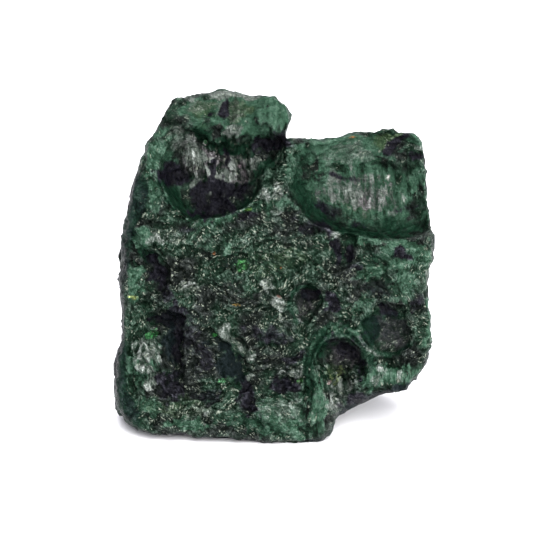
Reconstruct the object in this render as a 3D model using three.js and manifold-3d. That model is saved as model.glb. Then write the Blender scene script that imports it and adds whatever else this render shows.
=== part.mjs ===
import * as THREE from "three";
import { mergeVertices } from "three/addons/utils/BufferGeometryUtils.js";
import Module from "manifold-3d";

// A rough emerald: one broken piece of green beryl with dark mica, that stands on its broken lower end.
// Millimetres, +Z up, the hollowed face towards -Y, the origin under the middle of the stone.
//
// The stone is shaped in the frame of its hollowed face: u to the right, v up along the face, w straight
// out of it. The face leans back, so w points towards -Y and a little up.

// Driving dimensions
const FACE_LEAN = THREE.MathUtils.degToRad(20);
const FOOT_DEPTH = 26; // from the foot of the face to the back of the stone
const FOOT_LEVEL = -0.2; // where the floor cuts the face frame, so that the stone has a flat place to stand
const FACE_CENTRE = [-5.2, 25.1];
const SPHERE_DETAIL = 21;

// Shares of the triangles: the hollowed face gets the most, then the sides, then the back.
const FACE_SHARE = 0.5;
const SIDE_SHARE = 0.28;

// How far the face's rim lies inside the outline, on each side of the stone, and how far behind the rim
// the stone is at its widest.
const RIM_INSET = { right: 0.7, above: 1.1, left: 2.0, below: 1.5 };
const RIM_DROP = { right: 3.0, above: 4.0, left: 5.0, below: 2.6 };
// Under the ribbed ledge at the lower right the stone falls back much further.
const RECESS = { angle: -0.86, spread: 0.19, inset: 2.6, drop: 4.5 };
const BEVEL_PART = 0.22; // the share of the way round the side that the bevel takes
const BACK_INSET = 3.0; // how far the edge of the back lies inside the outline
const BACK_ROUNDING = { spread: 0.3, places: 4 };
const BACK_DISH = 0.0035; // how much the back curves towards its left and right edges, per millimetre squared
// The underside runs level from where the outline is below fullBelow, sags a little behind the face, and
// meets the back in a squarer edge than the sides do.
const UNDERSIDE = { fullBelow: 1, noneAbove: 11, sag: 1.4, sagRun: 5, squareness: 0.75 };
// The step between the two shoulders at the top undercuts the left one.
const NOTCH = { at: [2.4, 50.5], reach: 1.9, pull: 0.9 };

// The outline, clockwise from the upper left shoulder, as [u, v].
const OUTLINE = [
  [-15.6, 56.7], [-12.5, 57.1], [-7.8, 57.9], [-3.2, 57.2], [0.6, 57.1], [2.4, 55.6], [3.3, 53.9],
  [3.1, 51.8], [2.9, 49.8], [8.6, 49.7], [13.4, 50.6], [17.8, 51.4], [20.1, 51.6], [20.7, 50.9],
  [23.8, 50.5], [24.7, 49.4], [24.9, 47.0], [25.8, 39.7], [26.2, 32.1], [26.2, 30.0], [25.5, 28.7],
  [25.4, 25.9], [26.1, 19.4], [26.1, 16.4], [25.6, 14.3], [24.5, 12.3], [21.9, 8.9], [17.7, 7.8],
  [15.6, 7.0], [13.6, 5.5], [10.4, 3.9], [9.6, 2.3], [7.8, 0.5], [0.0, 0.0], [-5.2, 0.3],
  [-10.4, 1.1], [-21.7, 1.8], [-24.0, 3.4], [-25.4, 5.8], [-25.8, 13.0], [-24.9, 17.0], [-25.1, 24.9],
  [-24.6, 34.0], [-23.2, 41.6], [-21.1, 46.7], [-20.7, 49.4], [-18.6, 52.3], [-17.3, 54.8],
];

// Hollows in the face, each an ellipse whose wall is steepest towards the direction steep, in degrees from
// u: soft and hard are the powers of the wall's curve away from there and on it. The wall of a crisp one
// stands nearly upright there.
const HOLLOWS = [
  { at: [-9.7, 44.4], size: [8.4, 8.1], depth: 7.0, steep: -95, soft: 1.1, hard: 0.6, crisp: 1, lip: 0.5 },
  { at: [-4.0, 45.7], size: [7.3, 3.6], depth: 5.0, steep: -35, soft: 1.3, hard: 0.8, crisp: 0.7, turn: 55 },
  { at: [0.0, 48.8], size: [3.2, 1.9], depth: 1.8, steep: 90, soft: 1.4, hard: 0.8, turn: -5 },
  {
    at: [16.2, 42.3], size: [13.6, 8.9], depth: 5.6, steep: -80, soft: 1.0, hard: 0.65, crisp: 0.6, lip: 0.4,
    turn: -6,
  },
  { at: [19.1, 18.9], size: [4.3, 4.3], depth: 2.9, steep: 150, soft: 1.1, hard: 0.8, crisp: 0.3, lip: 0.2 },
  { at: [10.9, 11.8], size: [4.3, 6.2], depth: 4.0, steep: 100, soft: 1.5, hard: 0.9, crisp: 0.4, lip: 0.2 },
  { at: [5.5, 22.5], size: [2.5, 3.1], depth: 2.2, steep: 60, soft: 0.8, hard: 0.7, crisp: 0.6, lip: 0.25 },
  { at: [11.2, 31.3], size: [2.6, 2.8], depth: 2.0, steep: 20, soft: 1.2, hard: 0.7, crisp: 0.4, lip: 0.1 },
  { at: [15.7, 31.8], size: [1.3, 1.3], depth: 0.9, steep: 90, soft: 1.0, hard: 0.8 },
  { at: [21.1, 30.6], size: [2.3, 1.1], depth: 1.0, steep: 90, soft: 1.2, hard: 0.6 },
  { at: [17.0, 25.4], size: [4.0, 2.8], depth: 1.6, steep: 90, soft: 1.4, hard: 0.9 },
  { at: [-19.0, 28.0], size: [2.1, 3.7], depth: 2.6, steep: 110, soft: 1.4, hard: 0.8, turn: 12 },
  { at: [-17.5, 20.2], size: [3.4, 1.8], depth: 2.8, steep: 90, soft: 1.2, hard: 0.6, turn: -8 },
  { at: [-15.6, 15.4], size: [1.8, 6.8], depth: 2.2, steep: 0, soft: 1.2, hard: 0.7, turn: 8 },
  { at: [-5.8, 12.8], size: [3.1, 5.8], depth: 1.9, steep: 45, soft: 1.0, hard: 0.7, crisp: 0.6, turn: 8 },
  { at: [-6.5, 54.3], size: [1.0, 2.4], depth: 1.2, steep: 90, soft: 1.4, hard: 0.9, turn: -8 },
  { at: [20.1, 48.8], size: [3.6, 1.3], depth: 1.6, steep: -45, soft: 1.2, hard: 0.8, turn: 38 },
  { at: [-10.0, 22.5], size: [2.6, 1.9], depth: 1.0, steep: 90, soft: 1.6, hard: 1.0 },
  { at: [3.6, 29.6], size: [2.8, 1.9], depth: 0.9, steep: 90, soft: 1.6, hard: 1.0 },
  { at: [4.5, 16.2], size: [3.9, 1.6], depth: 0.9, steep: -90, soft: 1.6, hard: 0.9, turn: 20 },
  { at: [-11.7, 29.6], size: [2.8, 2.1], depth: 0.9, steep: 90, soft: 1.6, hard: 1.0 },
  { at: [-12.0, 8.1], size: [4.2, 2.3], depth: 1.1, steep: 90, soft: 1.6, hard: 1.0, turn: -12 },
  { at: [-1.6, 11.3], size: [3.6, 1.6], depth: 1.0, steep: 90, soft: 1.4, hard: 0.8, turn: -8 },
];

// How the places in and round a crisp hollow crowd at its rim, so that the wall stands upright there and the
// rim is sharp: [distance from the hollow's middle, new distance], in half widths of the hollow.
const CROWDING = [[0, 0], [0.7, 0.95], [1, 1], [1.12, 1.025], [1.36, 1.36]];
const LIP = { at: 1.06, width: 0.09 }; // where a hollow's lip stands, in half widths of the hollow
const INSIDE_FROM = 1.2; // the depth at which a place counts as inside a hollow
const RIM_HOLD = 0.12; // this near the face's rim nothing moves sideways any more, as a share of the way

// Lobes, knobs and blocks that stand out of the face. A small edge gives a flat top.
const LUMPS = [
  { at: [1.0, 39.5], size: [7.1, 4.9], height: 2.6 }, // lobe between the two great hollows
  { at: [3.2, 45.2], size: [3.1, 7.5], height: 2.2, turn: -14 }, // and the saddle above it
  { at: [-1.3, 40.3], size: [1.8, 1.3], height: 0.8, turn: 15, edge: 0.6 },
  { at: [1.1, 40.8], size: [1.5, 1.1], height: 0.7, edge: 0.6 },
  { at: [1.1, 38.1], size: [1.6, 1.3], height: 0.6, edge: 0.6 },
  { at: [-17.3, 39.2], size: [4.0, 4.0], height: 2.4 }, // smooth lobe at the left
  { at: [-20.4, 33.4], size: [3.1, 3.1], height: 1.8 }, // bright corner below it
  { at: [-20.1, 12.8], size: [4.5, 5.3], height: 2.6, turn: 10 }, // lower left lump
  { at: [-0.6, 25.6], size: [1.8, 1.6], height: 1.3, edge: 0.7 },
  { at: [1.3, 22.5], size: [1.5, 1.9], height: 1.0, edge: 0.7 },
  { at: [-7.3, 31.3], size: [1.6, 1.6], height: 0.9 },
  { at: [-7.1, 17.8], size: [2.3, 1.3], height: 0.9, turn: -35 },
  { at: [2.1, 5.3], size: [6.2, 3.9], height: 1.5, edge: 0.45 }, // block at the foot
  { at: [7.5, 7.9], size: [2.8, 8.4], height: 2.1, turn: -6, edge: 0.8 }, // rim of the open hollow
  { at: [18.8, 11.0], size: [5.5, 2.9], height: 2.0, turn: 2, edge: 0.5 }, // ribbed ledge
  { at: [13.0, 10.5], size: [1.9, 2.4], height: 1.1 },
  { at: [23.7, 49.2], size: [1.8, 1.9], height: 1.0 },
  { at: [-12.6, 3.4], size: [5.8, 1.9], height: 1.2 },
  { at: [-7.8, 26.6], size: [2.3, 3.1], height: 1.0, turn: 20 },
  { at: [-17.2, 23.5], size: [3.2, 1.9], height: 1.2, turn: 5 },
  { at: [1.6, 55.2], size: [3.9, 4.5], height: 0.9 },
  { at: [-2.8, 34.5], size: [9.7, 4.2], height: 0.9, turn: -4 },
  { at: [11.8, 25.1], size: [4.9, 3.9], height: 0.8 },
];

// Ledges: above the line the face stands forward by height, and that fades out over reach. At both ends of
// the line it fades out too, over fade.
const LEDGES = [
  {
    line: [[-17.2, 53.0], [-12.8, 51.2], [-9.6, 49.2], [-6.5, 48.0], [-4.2, 49.2], [-1.6, 50.5], [2.3, 49.7]],
    height: 2.2,
    run: 1.3,
    reach: 5.5,
    fade: [3, 2],
  },
  {
    line: [[4.5, 45.8], [10.2, 46.0], [13.0, 45.4], [16.7, 46.0], [20.7, 45.5], [25.6, 46.2]],
    height: 0.45,
    run: 1.4,
    reach: 4.2,
    fade: [3, 2],
  },
];

// Chipped facets, coarse first: size is the width of a facet and height how far it stands in or out.
const CHIPS_IN_HOLLOWS = 0.5; // how much of the chips' height is left there
const FACE_CHIPS = [
  { size: [4.0, 3.4], height: 0.45, seed: 40 },
  { size: [1.9, 1.5], height: 0.2, seed: 60 },
];
const SIDE_CHIPS = [
  { size: [8.5, 8.5], height: 1.7, seed: 140 },
  { size: [3.6, 3.6], height: 0.8, seed: 160 },
];
const SIDE_CHIPS_INWARD = 0.4; // they cut in more than they stand out
const BEVEL_CHIPS = { reach: 0.2, share: 0.3, full: 0.25 }; // how the side's chips fade in behind the rim
const BACK_SWELL = { size: 13, height: 1.6, seed: 5 };
const FACE_CROWN = { at: [-1, 22], height: 0.6, curve: [0.04, 0.032] };
const FACE_SWELL = { size: 9, height: 0.9, seed: 3 };
const RIM_SHAKE = { size: 3.4, height: 0.7, seeds: [21, 23] };

// Random values that only depend on the place and the seed

function lattice(x, y, z, seed) {
  const value = Math.sin(x * 127.1 + y * 311.7 + z * 74.7 + seed * 53.3) * 43758.5453;
  return value - Math.floor(value);
}

function smooth(t) {
  const s = Math.min(Math.max(t, 0), 1);
  return s * s * (3 - 2 * s);
}

// Soft swells between -1 and 1.
function swell(x, y, z, seed) {
  const base = [Math.floor(x), Math.floor(y), Math.floor(z)];
  const ease = [x - base[0], y - base[1], z - base[2]].map((t) => t * t * t * (t * (t * 6 - 15) + 10));
  let sum = 0;
  for (let corner = 0; corner < 8; corner += 1) {
    const step = [corner & 1, (corner >> 1) & 1, (corner >> 2) & 1];
    const weight = step.reduce((w, s, i) => w * (s ? ease[i] : 1 - ease[i]), 1);
    sum += weight * lattice(base[0] + step[0], base[1] + step[1], base[2] + step[2], seed);
  }
  return sum * 2 - 1;
}

// Flat facets that meet in edges: every cell holds a tilted plane, and the nearest one counts most.
function facets(x, y, z, seed) {
  const narrow = 10;
  const tilt = 2.4;
  const rise = 1.2;
  const base = [Math.floor(x), Math.floor(y), Math.floor(z)];
  let sum = 0;
  let weights = 0;
  for (let i = -1; i <= 1; i += 1) {
    for (let j = -1; j <= 1; j += 1) {
      for (let k = -1; k <= 1; k += 1) {
        const cell = [base[0] + i, base[1] + j, base[2] + k];
        const random = (n) => lattice(cell[0], cell[1], cell[2], seed + n);
        const away = [x - cell[0] - random(0), y - cell[1] - random(1), z - cell[2] - random(2)];
        const weight = Math.exp(-narrow * (away[0] ** 2 + away[1] ** 2 + away[2] ** 2));
        let height = rise * (random(3) - 0.5);
        away.forEach((a, n) => {
          height += tilt * (random(4 + n) - 0.5) * a;
        });
        sum += weight * height;
        weights += weight;
      }
    }
  }
  return sum / weights;
}

// The hollowed face

// The height of a line of straight pieces at u.
function lineAt(u, line) {
  const last = line.length - 1;
  if (u <= line[0][0]) return line[0][1];
  if (u >= line[last][0]) return line[last][1];
  const next = line.findIndex((point) => point[0] > u);
  const [a, b] = [line[next - 1], line[next]];
  return a[1] + ((b[1] - a[1]) * (u - a[0])) / (b[0] - a[0]);
}

// Where [u, v] lies in a feature's own ellipse: 1 on its rim.
function inEllipse(u, v, { at, size, turn = 0 }) {
  const angle = THREE.MathUtils.degToRad(turn);
  const du = u - at[0];
  const dv = v - at[1];
  return [
    (du * Math.cos(angle) + dv * Math.sin(angle)) / size[0],
    (dv * Math.cos(angle) - du * Math.sin(angle)) / size[1],
  ];
}

// The depth and lip of a hollow at a place, and how far out the place moves at a crisp rim, as a share of its
// distance from the hollow's middle.
function hollowAt(u, v, hollow) {
  const [p, q] = inEllipse(u, v, hollow);
  const steep = THREE.MathUtils.degToRad(hollow.steep - (hollow.turn ?? 0));
  const facing = smooth(0.5 + 0.5 * Math.cos(Math.atan2(q, p) - steep));
  const power = hollow.soft + (hollow.hard - hollow.soft) * facing;
  const distance = Math.hypot(p, q);
  const lip = (hollow.lip ?? 0) * facing * Math.exp(-(((distance - LIP.at) / LIP.width) ** 2));
  const depth = hollow.depth * Math.max(1 - distance ** 2, 0) ** power;
  const moved = distance < CROWDING.at(-1)[0] ? lineAt(distance, CROWDING) : distance;
  const outward = ((hollow.crisp ?? 0) * facing ** 2 * (moved - distance)) / distance;
  return { depth, lip, outward };
}

function lumpAt(u, v, lump) {
  const [p, q] = inEllipse(u, v, lump);
  return lump.height * smooth((1 - Math.hypot(p, q)) / (lump.edge ?? 1));
}

function ledgeAt(u, v, { line, height, run, reach, fade }) {
  const above = v - lineAt(u, line);
  const along = smooth((u - line[0][0]) / fade[0] + 0.3) * smooth((line.at(-1)[0] - u) / fade[1] + 0.6);
  return height * smooth(above / run + 0.5) * (1 - smooth(above / reach)) * along;
}

// The face's skin at [u, v], where [u, v] itself moves to the crisp hollows' rims if loose is 1.
function facePoint(u, v, loose) {
  const shake = RIM_SHAKE.seeds.map(
    (seed) => RIM_SHAKE.height * swell(u / RIM_SHAKE.size, v / RIM_SHAKE.size, 0, seed),
  );
  const su = u + shake[0];
  const sv = v + shake[1];
  let w = FACE_CROWN.height - ((u - FACE_CROWN.at[0]) * FACE_CROWN.curve[0]) ** 2;
  w -= ((v - FACE_CROWN.at[1]) * FACE_CROWN.curve[1]) ** 2;
  w += FACE_SWELL.height * swell(u / FACE_SWELL.size, v / FACE_SWELL.size, 0, FACE_SWELL.seed);
  for (const lump of LUMPS) w += lumpAt(su, sv, lump);
  const cuts = HOLLOWS.map((hollow) => hollowAt(su, sv, hollow));
  const cubes = cuts.reduce((sum, { depth }) => sum + depth ** 3, 0);
  const inHollow = smooth(Math.cbrt(cubes) / INSIDE_FROM);
  const moved = [u, v];
  cuts.forEach(({ depth, lip, outward }, i) => {
    // A hollow has a lip and a crisp wall only where it doesn't open into another one.
    const others = Math.cbrt(Math.max(cubes - depth ** 3, 0));
    const alone = 1 - smooth(others / INSIDE_FROM);
    w += alone * lip * (1 - inHollow);
    moved[0] += loose * alone * outward * (su - HOLLOWS[i].at[0]);
    moved[1] += loose * alone * outward * (sv - HOLLOWS[i].at[1]);
  });
  w -= Math.cbrt(cubes);
  for (const ledge of LEDGES) w += ledgeAt(u, v, ledge);
  for (const { size, height, seed } of FACE_CHIPS) {
    const left = 1 - (1 - CHIPS_IN_HOLLOWS) * inHollow;
    w += height * left * facets(moved[0] / size[0], moved[1] / size[1], w / size[1], seed);
  }
  return [...moved, w];
}

// The outline, the sides and the back

// Blends four values by the side of the stone that the angle points to.
function bySide(angle, { right, above, left, below }) {
  const across = Math.cos(angle) ** 2;
  const up = Math.sin(angle) ** 2;
  return across * (Math.cos(angle) > 0 ? right : left) + up * (Math.sin(angle) > 0 ? above : below);
}

function inRecess(angle) {
  return Math.exp(-(((angle - RECESS.angle) / RECESS.spread) ** 2));
}

// The distance from the face's centre to the outline at an angle, along straight edges.
function outlineRadius(angle) {
  const out = [Math.cos(angle), Math.sin(angle)];
  let radius = 0;
  OUTLINE.forEach((start, i) => {
    const end = OUTLINE[(i + 1) % OUTLINE.length];
    const a = [start[0] - FACE_CENTRE[0], start[1] - FACE_CENTRE[1]];
    const b = [end[0] - FACE_CENTRE[0], end[1] - FACE_CENTRE[1]];
    const sideA = out[0] * a[1] - out[1] * a[0];
    const sideB = out[0] * b[1] - out[1] * b[0];
    if (sideA < 0 || sideB >= 0) return;
    const t = sideA / (sideA - sideB);
    const along = (a[0] + (b[0] - a[0]) * t) * out[0] + (a[1] + (b[1] - a[1]) * t) * out[1];
    radius = Math.max(radius, along);
  });
  return radius;
}

// The back is upright, so in the face's frame it comes nearer the face towards the top.
function backHeight(u, v) {
  const bulge = BACK_SWELL.height * swell(u / BACK_SWELL.size, v / BACK_SWELL.size, 2.5, BACK_SWELL.seed);
  return (v * Math.sin(FACE_LEAN) - FOOT_DEPTH) / Math.cos(FACE_LEAN) + bulge + BACK_DISH * u ** 2;
}

// The back's edge is rounder than the outline, and never reaches past it.
function backRadius(angle) {
  let sum = 0;
  for (let i = -BACK_ROUNDING.places; i <= BACK_ROUNDING.places; i += 1) {
    sum += outlineRadius(angle + (i * BACK_ROUNDING.spread) / BACK_ROUNDING.places);
  }
  const mean = sum / (2 * BACK_ROUNDING.places + 1);
  return Math.min(mean, outlineRadius(angle)) - BACK_INSET;
}

// Everything that stays the same along one direction from the centre.
function spoke(angle) {
  const out = [Math.cos(angle), Math.sin(angle)];
  const radius = outlineRadius(angle);
  const place = (r) => [FACE_CENTRE[0] + r * out[0], FACE_CENTRE[1] + r * out[1]];
  const inset = bySide(angle, RIM_INSET) + RECESS.inset * inRecess(angle);
  const drop = bySide(angle, RIM_DROP) + RECESS.drop * inRecess(angle);
  const rim = place(radius - inset);
  const rimHeight = facePoint(...rim, 0)[2];
  const widest = rimHeight - drop;
  const edge = place(radius);
  const { fullBelow, noneAbove, sag, sagRun } = UNDERSIDE;
  const under = out[1] < 0 ? 1 - smooth((edge[1] - fullBelow) / (noneAbove - fullBelow)) : 0;
  // The underside runs level, so going back it rises in the face's frame.
  const lift = (back) => under * (back * Math.tan(FACE_LEAN) - sag * smooth(back / sagRun));
  const backInset = (radius - backRadius(angle)) * (1 - UNDERSIDE.squareness * under);
  const backRim = place(radius - backInset);
  let depth = widest - backHeight(backRim[0], backRim[1]);
  for (let round = 0; round < 4; round += 1) {
    depth = widest - backHeight(backRim[0], backRim[1] + lift(depth));
  }
  return { out, radius, inset, backInset, rimHeight, widest, depth, lift, place };
}

// A point of the stone's skin for a direction on a sphere whose pole looks out of the face.
function skinPoint(direction) {
  const { x, y, z } = direction;
  const angle = Math.atan2(y, x);
  const line = spoke(angle);
  const share = (1 - z) / 2;
  let [u, v, w] = [0, 0, 0];
  let push = [0, 0, -1];
  if (share <= FACE_SHARE) {
    const out = Math.sqrt(share / FACE_SHARE);
    [u, v] = line.place((line.radius - line.inset) * out);
    return facePoint(u, v, smooth((1 - out) / RIM_HOLD));
  }
  if (share <= FACE_SHARE + SIDE_SHARE) {
    const t = (share - FACE_SHARE) / SIDE_SHARE;
    const bevel = Math.min(t / BEVEL_PART, 1) * (Math.PI / 2);
    const along = Math.max(t - BEVEL_PART, 0) / (1 - BEVEL_PART);
    const back = along * line.depth;
    [u, v] = line.place(line.radius - line.inset * (1 - Math.sin(bevel)) - line.backInset * along ** 3);
    v += line.lift(back);
    w = line.widest + (line.rimHeight - line.widest) * Math.cos(bevel) - back;
    const { reach, share: least, full } = BEVEL_CHIPS;
    const sideways = smooth(t / reach) * (least + (1 - least) * smooth(along / full));
    push = [line.out[0] * sideways, line.out[1] * sideways, -smooth(along * 2 - 1)];
  } else {
    const s = Math.sqrt((1 - share) / (1 - FACE_SHARE - SIDE_SHARE));
    [u, v] = line.place((line.radius - line.backInset) * s);
    v += line.lift(line.depth) * s;
    w = backHeight(u, v);
    push = [line.out[0] * smooth(s * 3 - 2), line.out[1] * smooth(s * 3 - 2), -1];
  }
  let chip = 0;
  for (const { size, height, seed } of SIDE_CHIPS) {
    chip += height * (facets(u / size[0], v / size[1], w / size[0], seed) - SIDE_CHIPS_INWARD);
  }
  return [u + push[0] * chip, v + push[1] * chip, w + push[2] * chip];
}

// From the face's frame to the part's own, with the floor at 0.
function standUp([u, v, w]) {
  const away = Math.hypot(u - NOTCH.at[0], v - NOTCH.at[1]) / NOTCH.reach;
  const undercut = NOTCH.pull * Math.exp(-(away ** 2));
  return [
    u - undercut,
    v * Math.sin(FACE_LEAN) - w * Math.cos(FACE_LEAN),
    v * Math.cos(FACE_LEAN) + w * Math.sin(FACE_LEAN) - FOOT_LEVEL,
  ];
}

// Solids

const wasm = await Module();
wasm.setup();

function bareGeometry(geometry) {
  geometry.deleteAttribute("normal");
  geometry.deleteAttribute("uv");
  return mergeVertices(geometry);
}

function solid(geometry) {
  const bare = bareGeometry(geometry);
  return new wasm.Manifold(
    new wasm.Mesh({
      numProp: 3,
      vertProperties: bare.attributes.position.array,
      triVerts: new Uint32Array(bare.index.array),
    }),
  );
}

function geometryOf(manifold) {
  const mesh = manifold.getMesh();
  return new THREE.BufferGeometry()
    .setAttribute("position", new THREE.BufferAttribute(mesh.vertProperties, 3))
    .setIndex(new THREE.BufferAttribute(mesh.triVerts, 1));
}

// The skin, from a sphere of even triangles whose points are each moved to their place on the stone.
function stoneGeometry() {
  const geometry = bareGeometry(new THREE.IcosahedronGeometry(1, SPHERE_DETAIL));
  const positions = geometry.attributes.position;
  const direction = new THREE.Vector3();
  for (let i = 0; i < positions.count; i += 1) {
    direction.fromBufferAttribute(positions, i).normalize();
    positions.setXYZ(i, ...standUp(skinPoint(direction)));
  }
  return geometry;
}

// What lies below the floor is cut away, which leaves the flat places that the stone stands on.
function belowFloor() {
  const side = 200;
  return new THREE.BoxGeometry(side, side, side).translate(0, 0, -side / 2);
}

const emeraldMaterial = new THREE.MeshStandardMaterial({ color: 0x2f4f3b, roughness: 0.5, metalness: 0 });

function emerald() {
  const geometry = geometryOf(solid(stoneGeometry()).subtract(solid(belowFloor())));
  geometry.computeBoundingBox();
  const middle = geometry.boundingBox.getCenter(new THREE.Vector3());
  geometry.translate(-middle.x, -middle.y, 0);
  geometry.computeVertexNormals();
  const mesh = new THREE.Mesh(geometry, emeraldMaterial);
  mesh.name = "emerald";
  return mesh;
}

const stone = new THREE.Group();
stone.add(emerald());

export default stone;
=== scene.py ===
import logging
import math
from dataclasses import dataclass, field
from enum import Enum
from functools import partial

import bpy
import numpy as np
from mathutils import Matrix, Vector


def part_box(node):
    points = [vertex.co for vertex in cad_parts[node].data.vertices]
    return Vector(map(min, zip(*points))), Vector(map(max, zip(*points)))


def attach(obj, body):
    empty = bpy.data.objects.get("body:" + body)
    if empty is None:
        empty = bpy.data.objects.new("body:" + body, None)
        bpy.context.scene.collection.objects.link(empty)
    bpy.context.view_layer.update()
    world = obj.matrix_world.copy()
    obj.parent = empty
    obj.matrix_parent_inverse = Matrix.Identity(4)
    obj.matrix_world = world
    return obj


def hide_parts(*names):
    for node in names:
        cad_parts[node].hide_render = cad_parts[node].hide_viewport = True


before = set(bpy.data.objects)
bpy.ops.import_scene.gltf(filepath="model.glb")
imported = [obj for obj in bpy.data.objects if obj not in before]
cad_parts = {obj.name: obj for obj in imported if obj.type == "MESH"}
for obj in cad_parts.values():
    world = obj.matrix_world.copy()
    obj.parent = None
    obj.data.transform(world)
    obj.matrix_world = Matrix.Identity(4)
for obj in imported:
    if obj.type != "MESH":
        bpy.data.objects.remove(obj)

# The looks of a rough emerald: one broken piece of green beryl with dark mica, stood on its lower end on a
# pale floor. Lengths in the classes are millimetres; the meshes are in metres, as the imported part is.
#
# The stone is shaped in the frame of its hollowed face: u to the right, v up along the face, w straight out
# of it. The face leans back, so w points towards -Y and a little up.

log = logging.getLogger("rough_emerald")

MM = 0.001
LEAN = math.radians(20)  # how far the hollowed face leans back
Floats = np.ndarray
Point = tuple[float, float]
Point3 = tuple[float, float, float]
Sides = tuple[float, float, float, float]  # at the right, the top, the left and the foot


class Mineral(Enum):
    """What a place on the stone is made of; some also carry painted shade or a painted highlight. The value
    is its attribute's name on the mesh.
    """

    # also laid as painted shade deep in the hollows and pits
    MICA = "mica"  # black flakes
    # also laid as a painted highlight along the top edge
    PALE = "pale"  # crushed, whitish beryl
    RICH = "rich"  # clear green beryl
    # also laid as painted shade on the left side, under the ledges, on the upright walls and along some rims
    DEEP = "deep"  # dark, glassy green beryl in the hollows' walls
    # also laid as painted shade on the left side and the underside
    SLAB = "slab"  # smooth, blackish sheets
    ASH = "ash"  # grey splinters in the hollows and pits
    OLIVE = "olive"  # yellowish green beryl


# Values that only depend on the place and the seed


def smooth(t: Floats) -> Floats:
    """Eases from 0 to 1 as t does, and stays there outside."""
    s = np.clip(t, 0, 1)
    return s * s * (3 - 2 * s)


def lattice(x: Floats, y: Floats, z: Floats, seed: float) -> Floats:
    """A random value from 0 to 1 for whole numbers x, y and z."""
    value = np.sin(x * 127.1 + y * 311.7 + z * 74.7 + seed * 53.3) * 43758.5453
    return value - np.floor(value)


def swell(x: Floats, y: Floats, z: Floats, seed: float) -> Floats:
    """Soft swells between -1 and 1.

    Args:
        x: Places, in widths of a swell, as y and z are.
        seed: Picks the pattern.

    Returns:
        One value for each place.
    """
    base = [np.floor(t) for t in (x, y, z)]
    ease = [(t := value - low) * t * t * (t * (t * 6 - 15) + 10) for value, low in zip((x, y, z), base)]
    total = 0.0
    for corner in range(8):
        step = [corner & 1, corner >> 1 & 1, corner >> 2 & 1]
        weight = 1.0
        for s, e in zip(step, ease):
            weight = weight * (e if s else 1 - e)
        total = total + weight * lattice(*(low + s for low, s in zip(base, step)), seed)
    return total * 2 - 1


def ripple(u: Floats, v: Floats, size: float, seed: float) -> Floats:
    """Soft swells of one width over the face, between -1 and 1."""
    return swell(u / size, v / size, 0 * u, seed)


def facets(x: Floats, y: Floats, z: Floats, seed: float, narrow: float = 10.0) -> Floats:
    """Flat chips that meet in edges: every cell holds a tilted plane, and the nearest one counts most.

    Args:
        x: Places, in widths of a chip, as y and z are.
        seed: Picks the pattern.
        narrow: How sharp the edges are.

    Returns:
        A height for each place, about between -0.6 and 0.6.
    """
    tilt, rise = 2.4, 1.2
    base = [np.floor(t) for t in (x, y, z)]
    total, weights = 0.0, 0.0
    for i in (-1, 0, 1):
        for j in (-1, 0, 1):
            for k in (-1, 0, 1):
                cell = (base[0] + i, base[1] + j, base[2] + k)
                away = [t - c - lattice(*cell, seed + n) for n, (t, c) in enumerate(zip((x, y, z), cell))]
                weight = np.exp(-narrow * (away[0] ** 2 + away[1] ** 2 + away[2] ** 2))
                height = rise * (lattice(*cell, seed + 3) - 0.5)
                for n, a in enumerate(away):
                    height = height + tilt * (lattice(*cell, seed + 4 + n) - 0.5) * a
                total = total + weight * height
                weights = weights + weight
    return total / weights


# Places on the hollowed face


@dataclass(frozen=True)
class Oval:
    """A turned ellipse on the face.

    Attributes:
        at: Its middle, [u, v].
        size: Its half width and half height.
        turn: How far it is turned, in degrees, anticlockwise.
    """

    at: Point
    size: Point
    turn: float = 0.0

    REACH, FADE = 1.25, 0.5  # where what it marks ends, if the rim is at 1, and over what way it fades

    def local(self, u: Floats, v: Floats) -> tuple[Floats, Floats]:
        """Where places lie in the ellipse.

        Args:
            u, v: Places on the face.

        Returns:
            The same in half widths and half heights, so that the rim is at a distance of 1.
        """
        angle = math.radians(self.turn)
        du, dv = u - self.at[0], v - self.at[1]
        p = (du * math.cos(angle) + dv * math.sin(angle)) / self.size[0]
        q = (dv * math.cos(angle) - du * math.sin(angle)) / self.size[1]
        return p, q

    def far(self, u: Floats, v: Floats) -> Floats:
        """How far places lie from its middle, with the rim at 1."""
        return np.hypot(*self.local(u, v))

    def facing(self, u: Floats, v: Floats, way: float) -> Floats:
        """How much places lie on the side that way points to, in degrees from u: 1 there, -1 across."""
        p, q = self.local(u, v)
        return np.cos(np.arctan2(q, p) - math.radians(way - self.turn))


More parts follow.
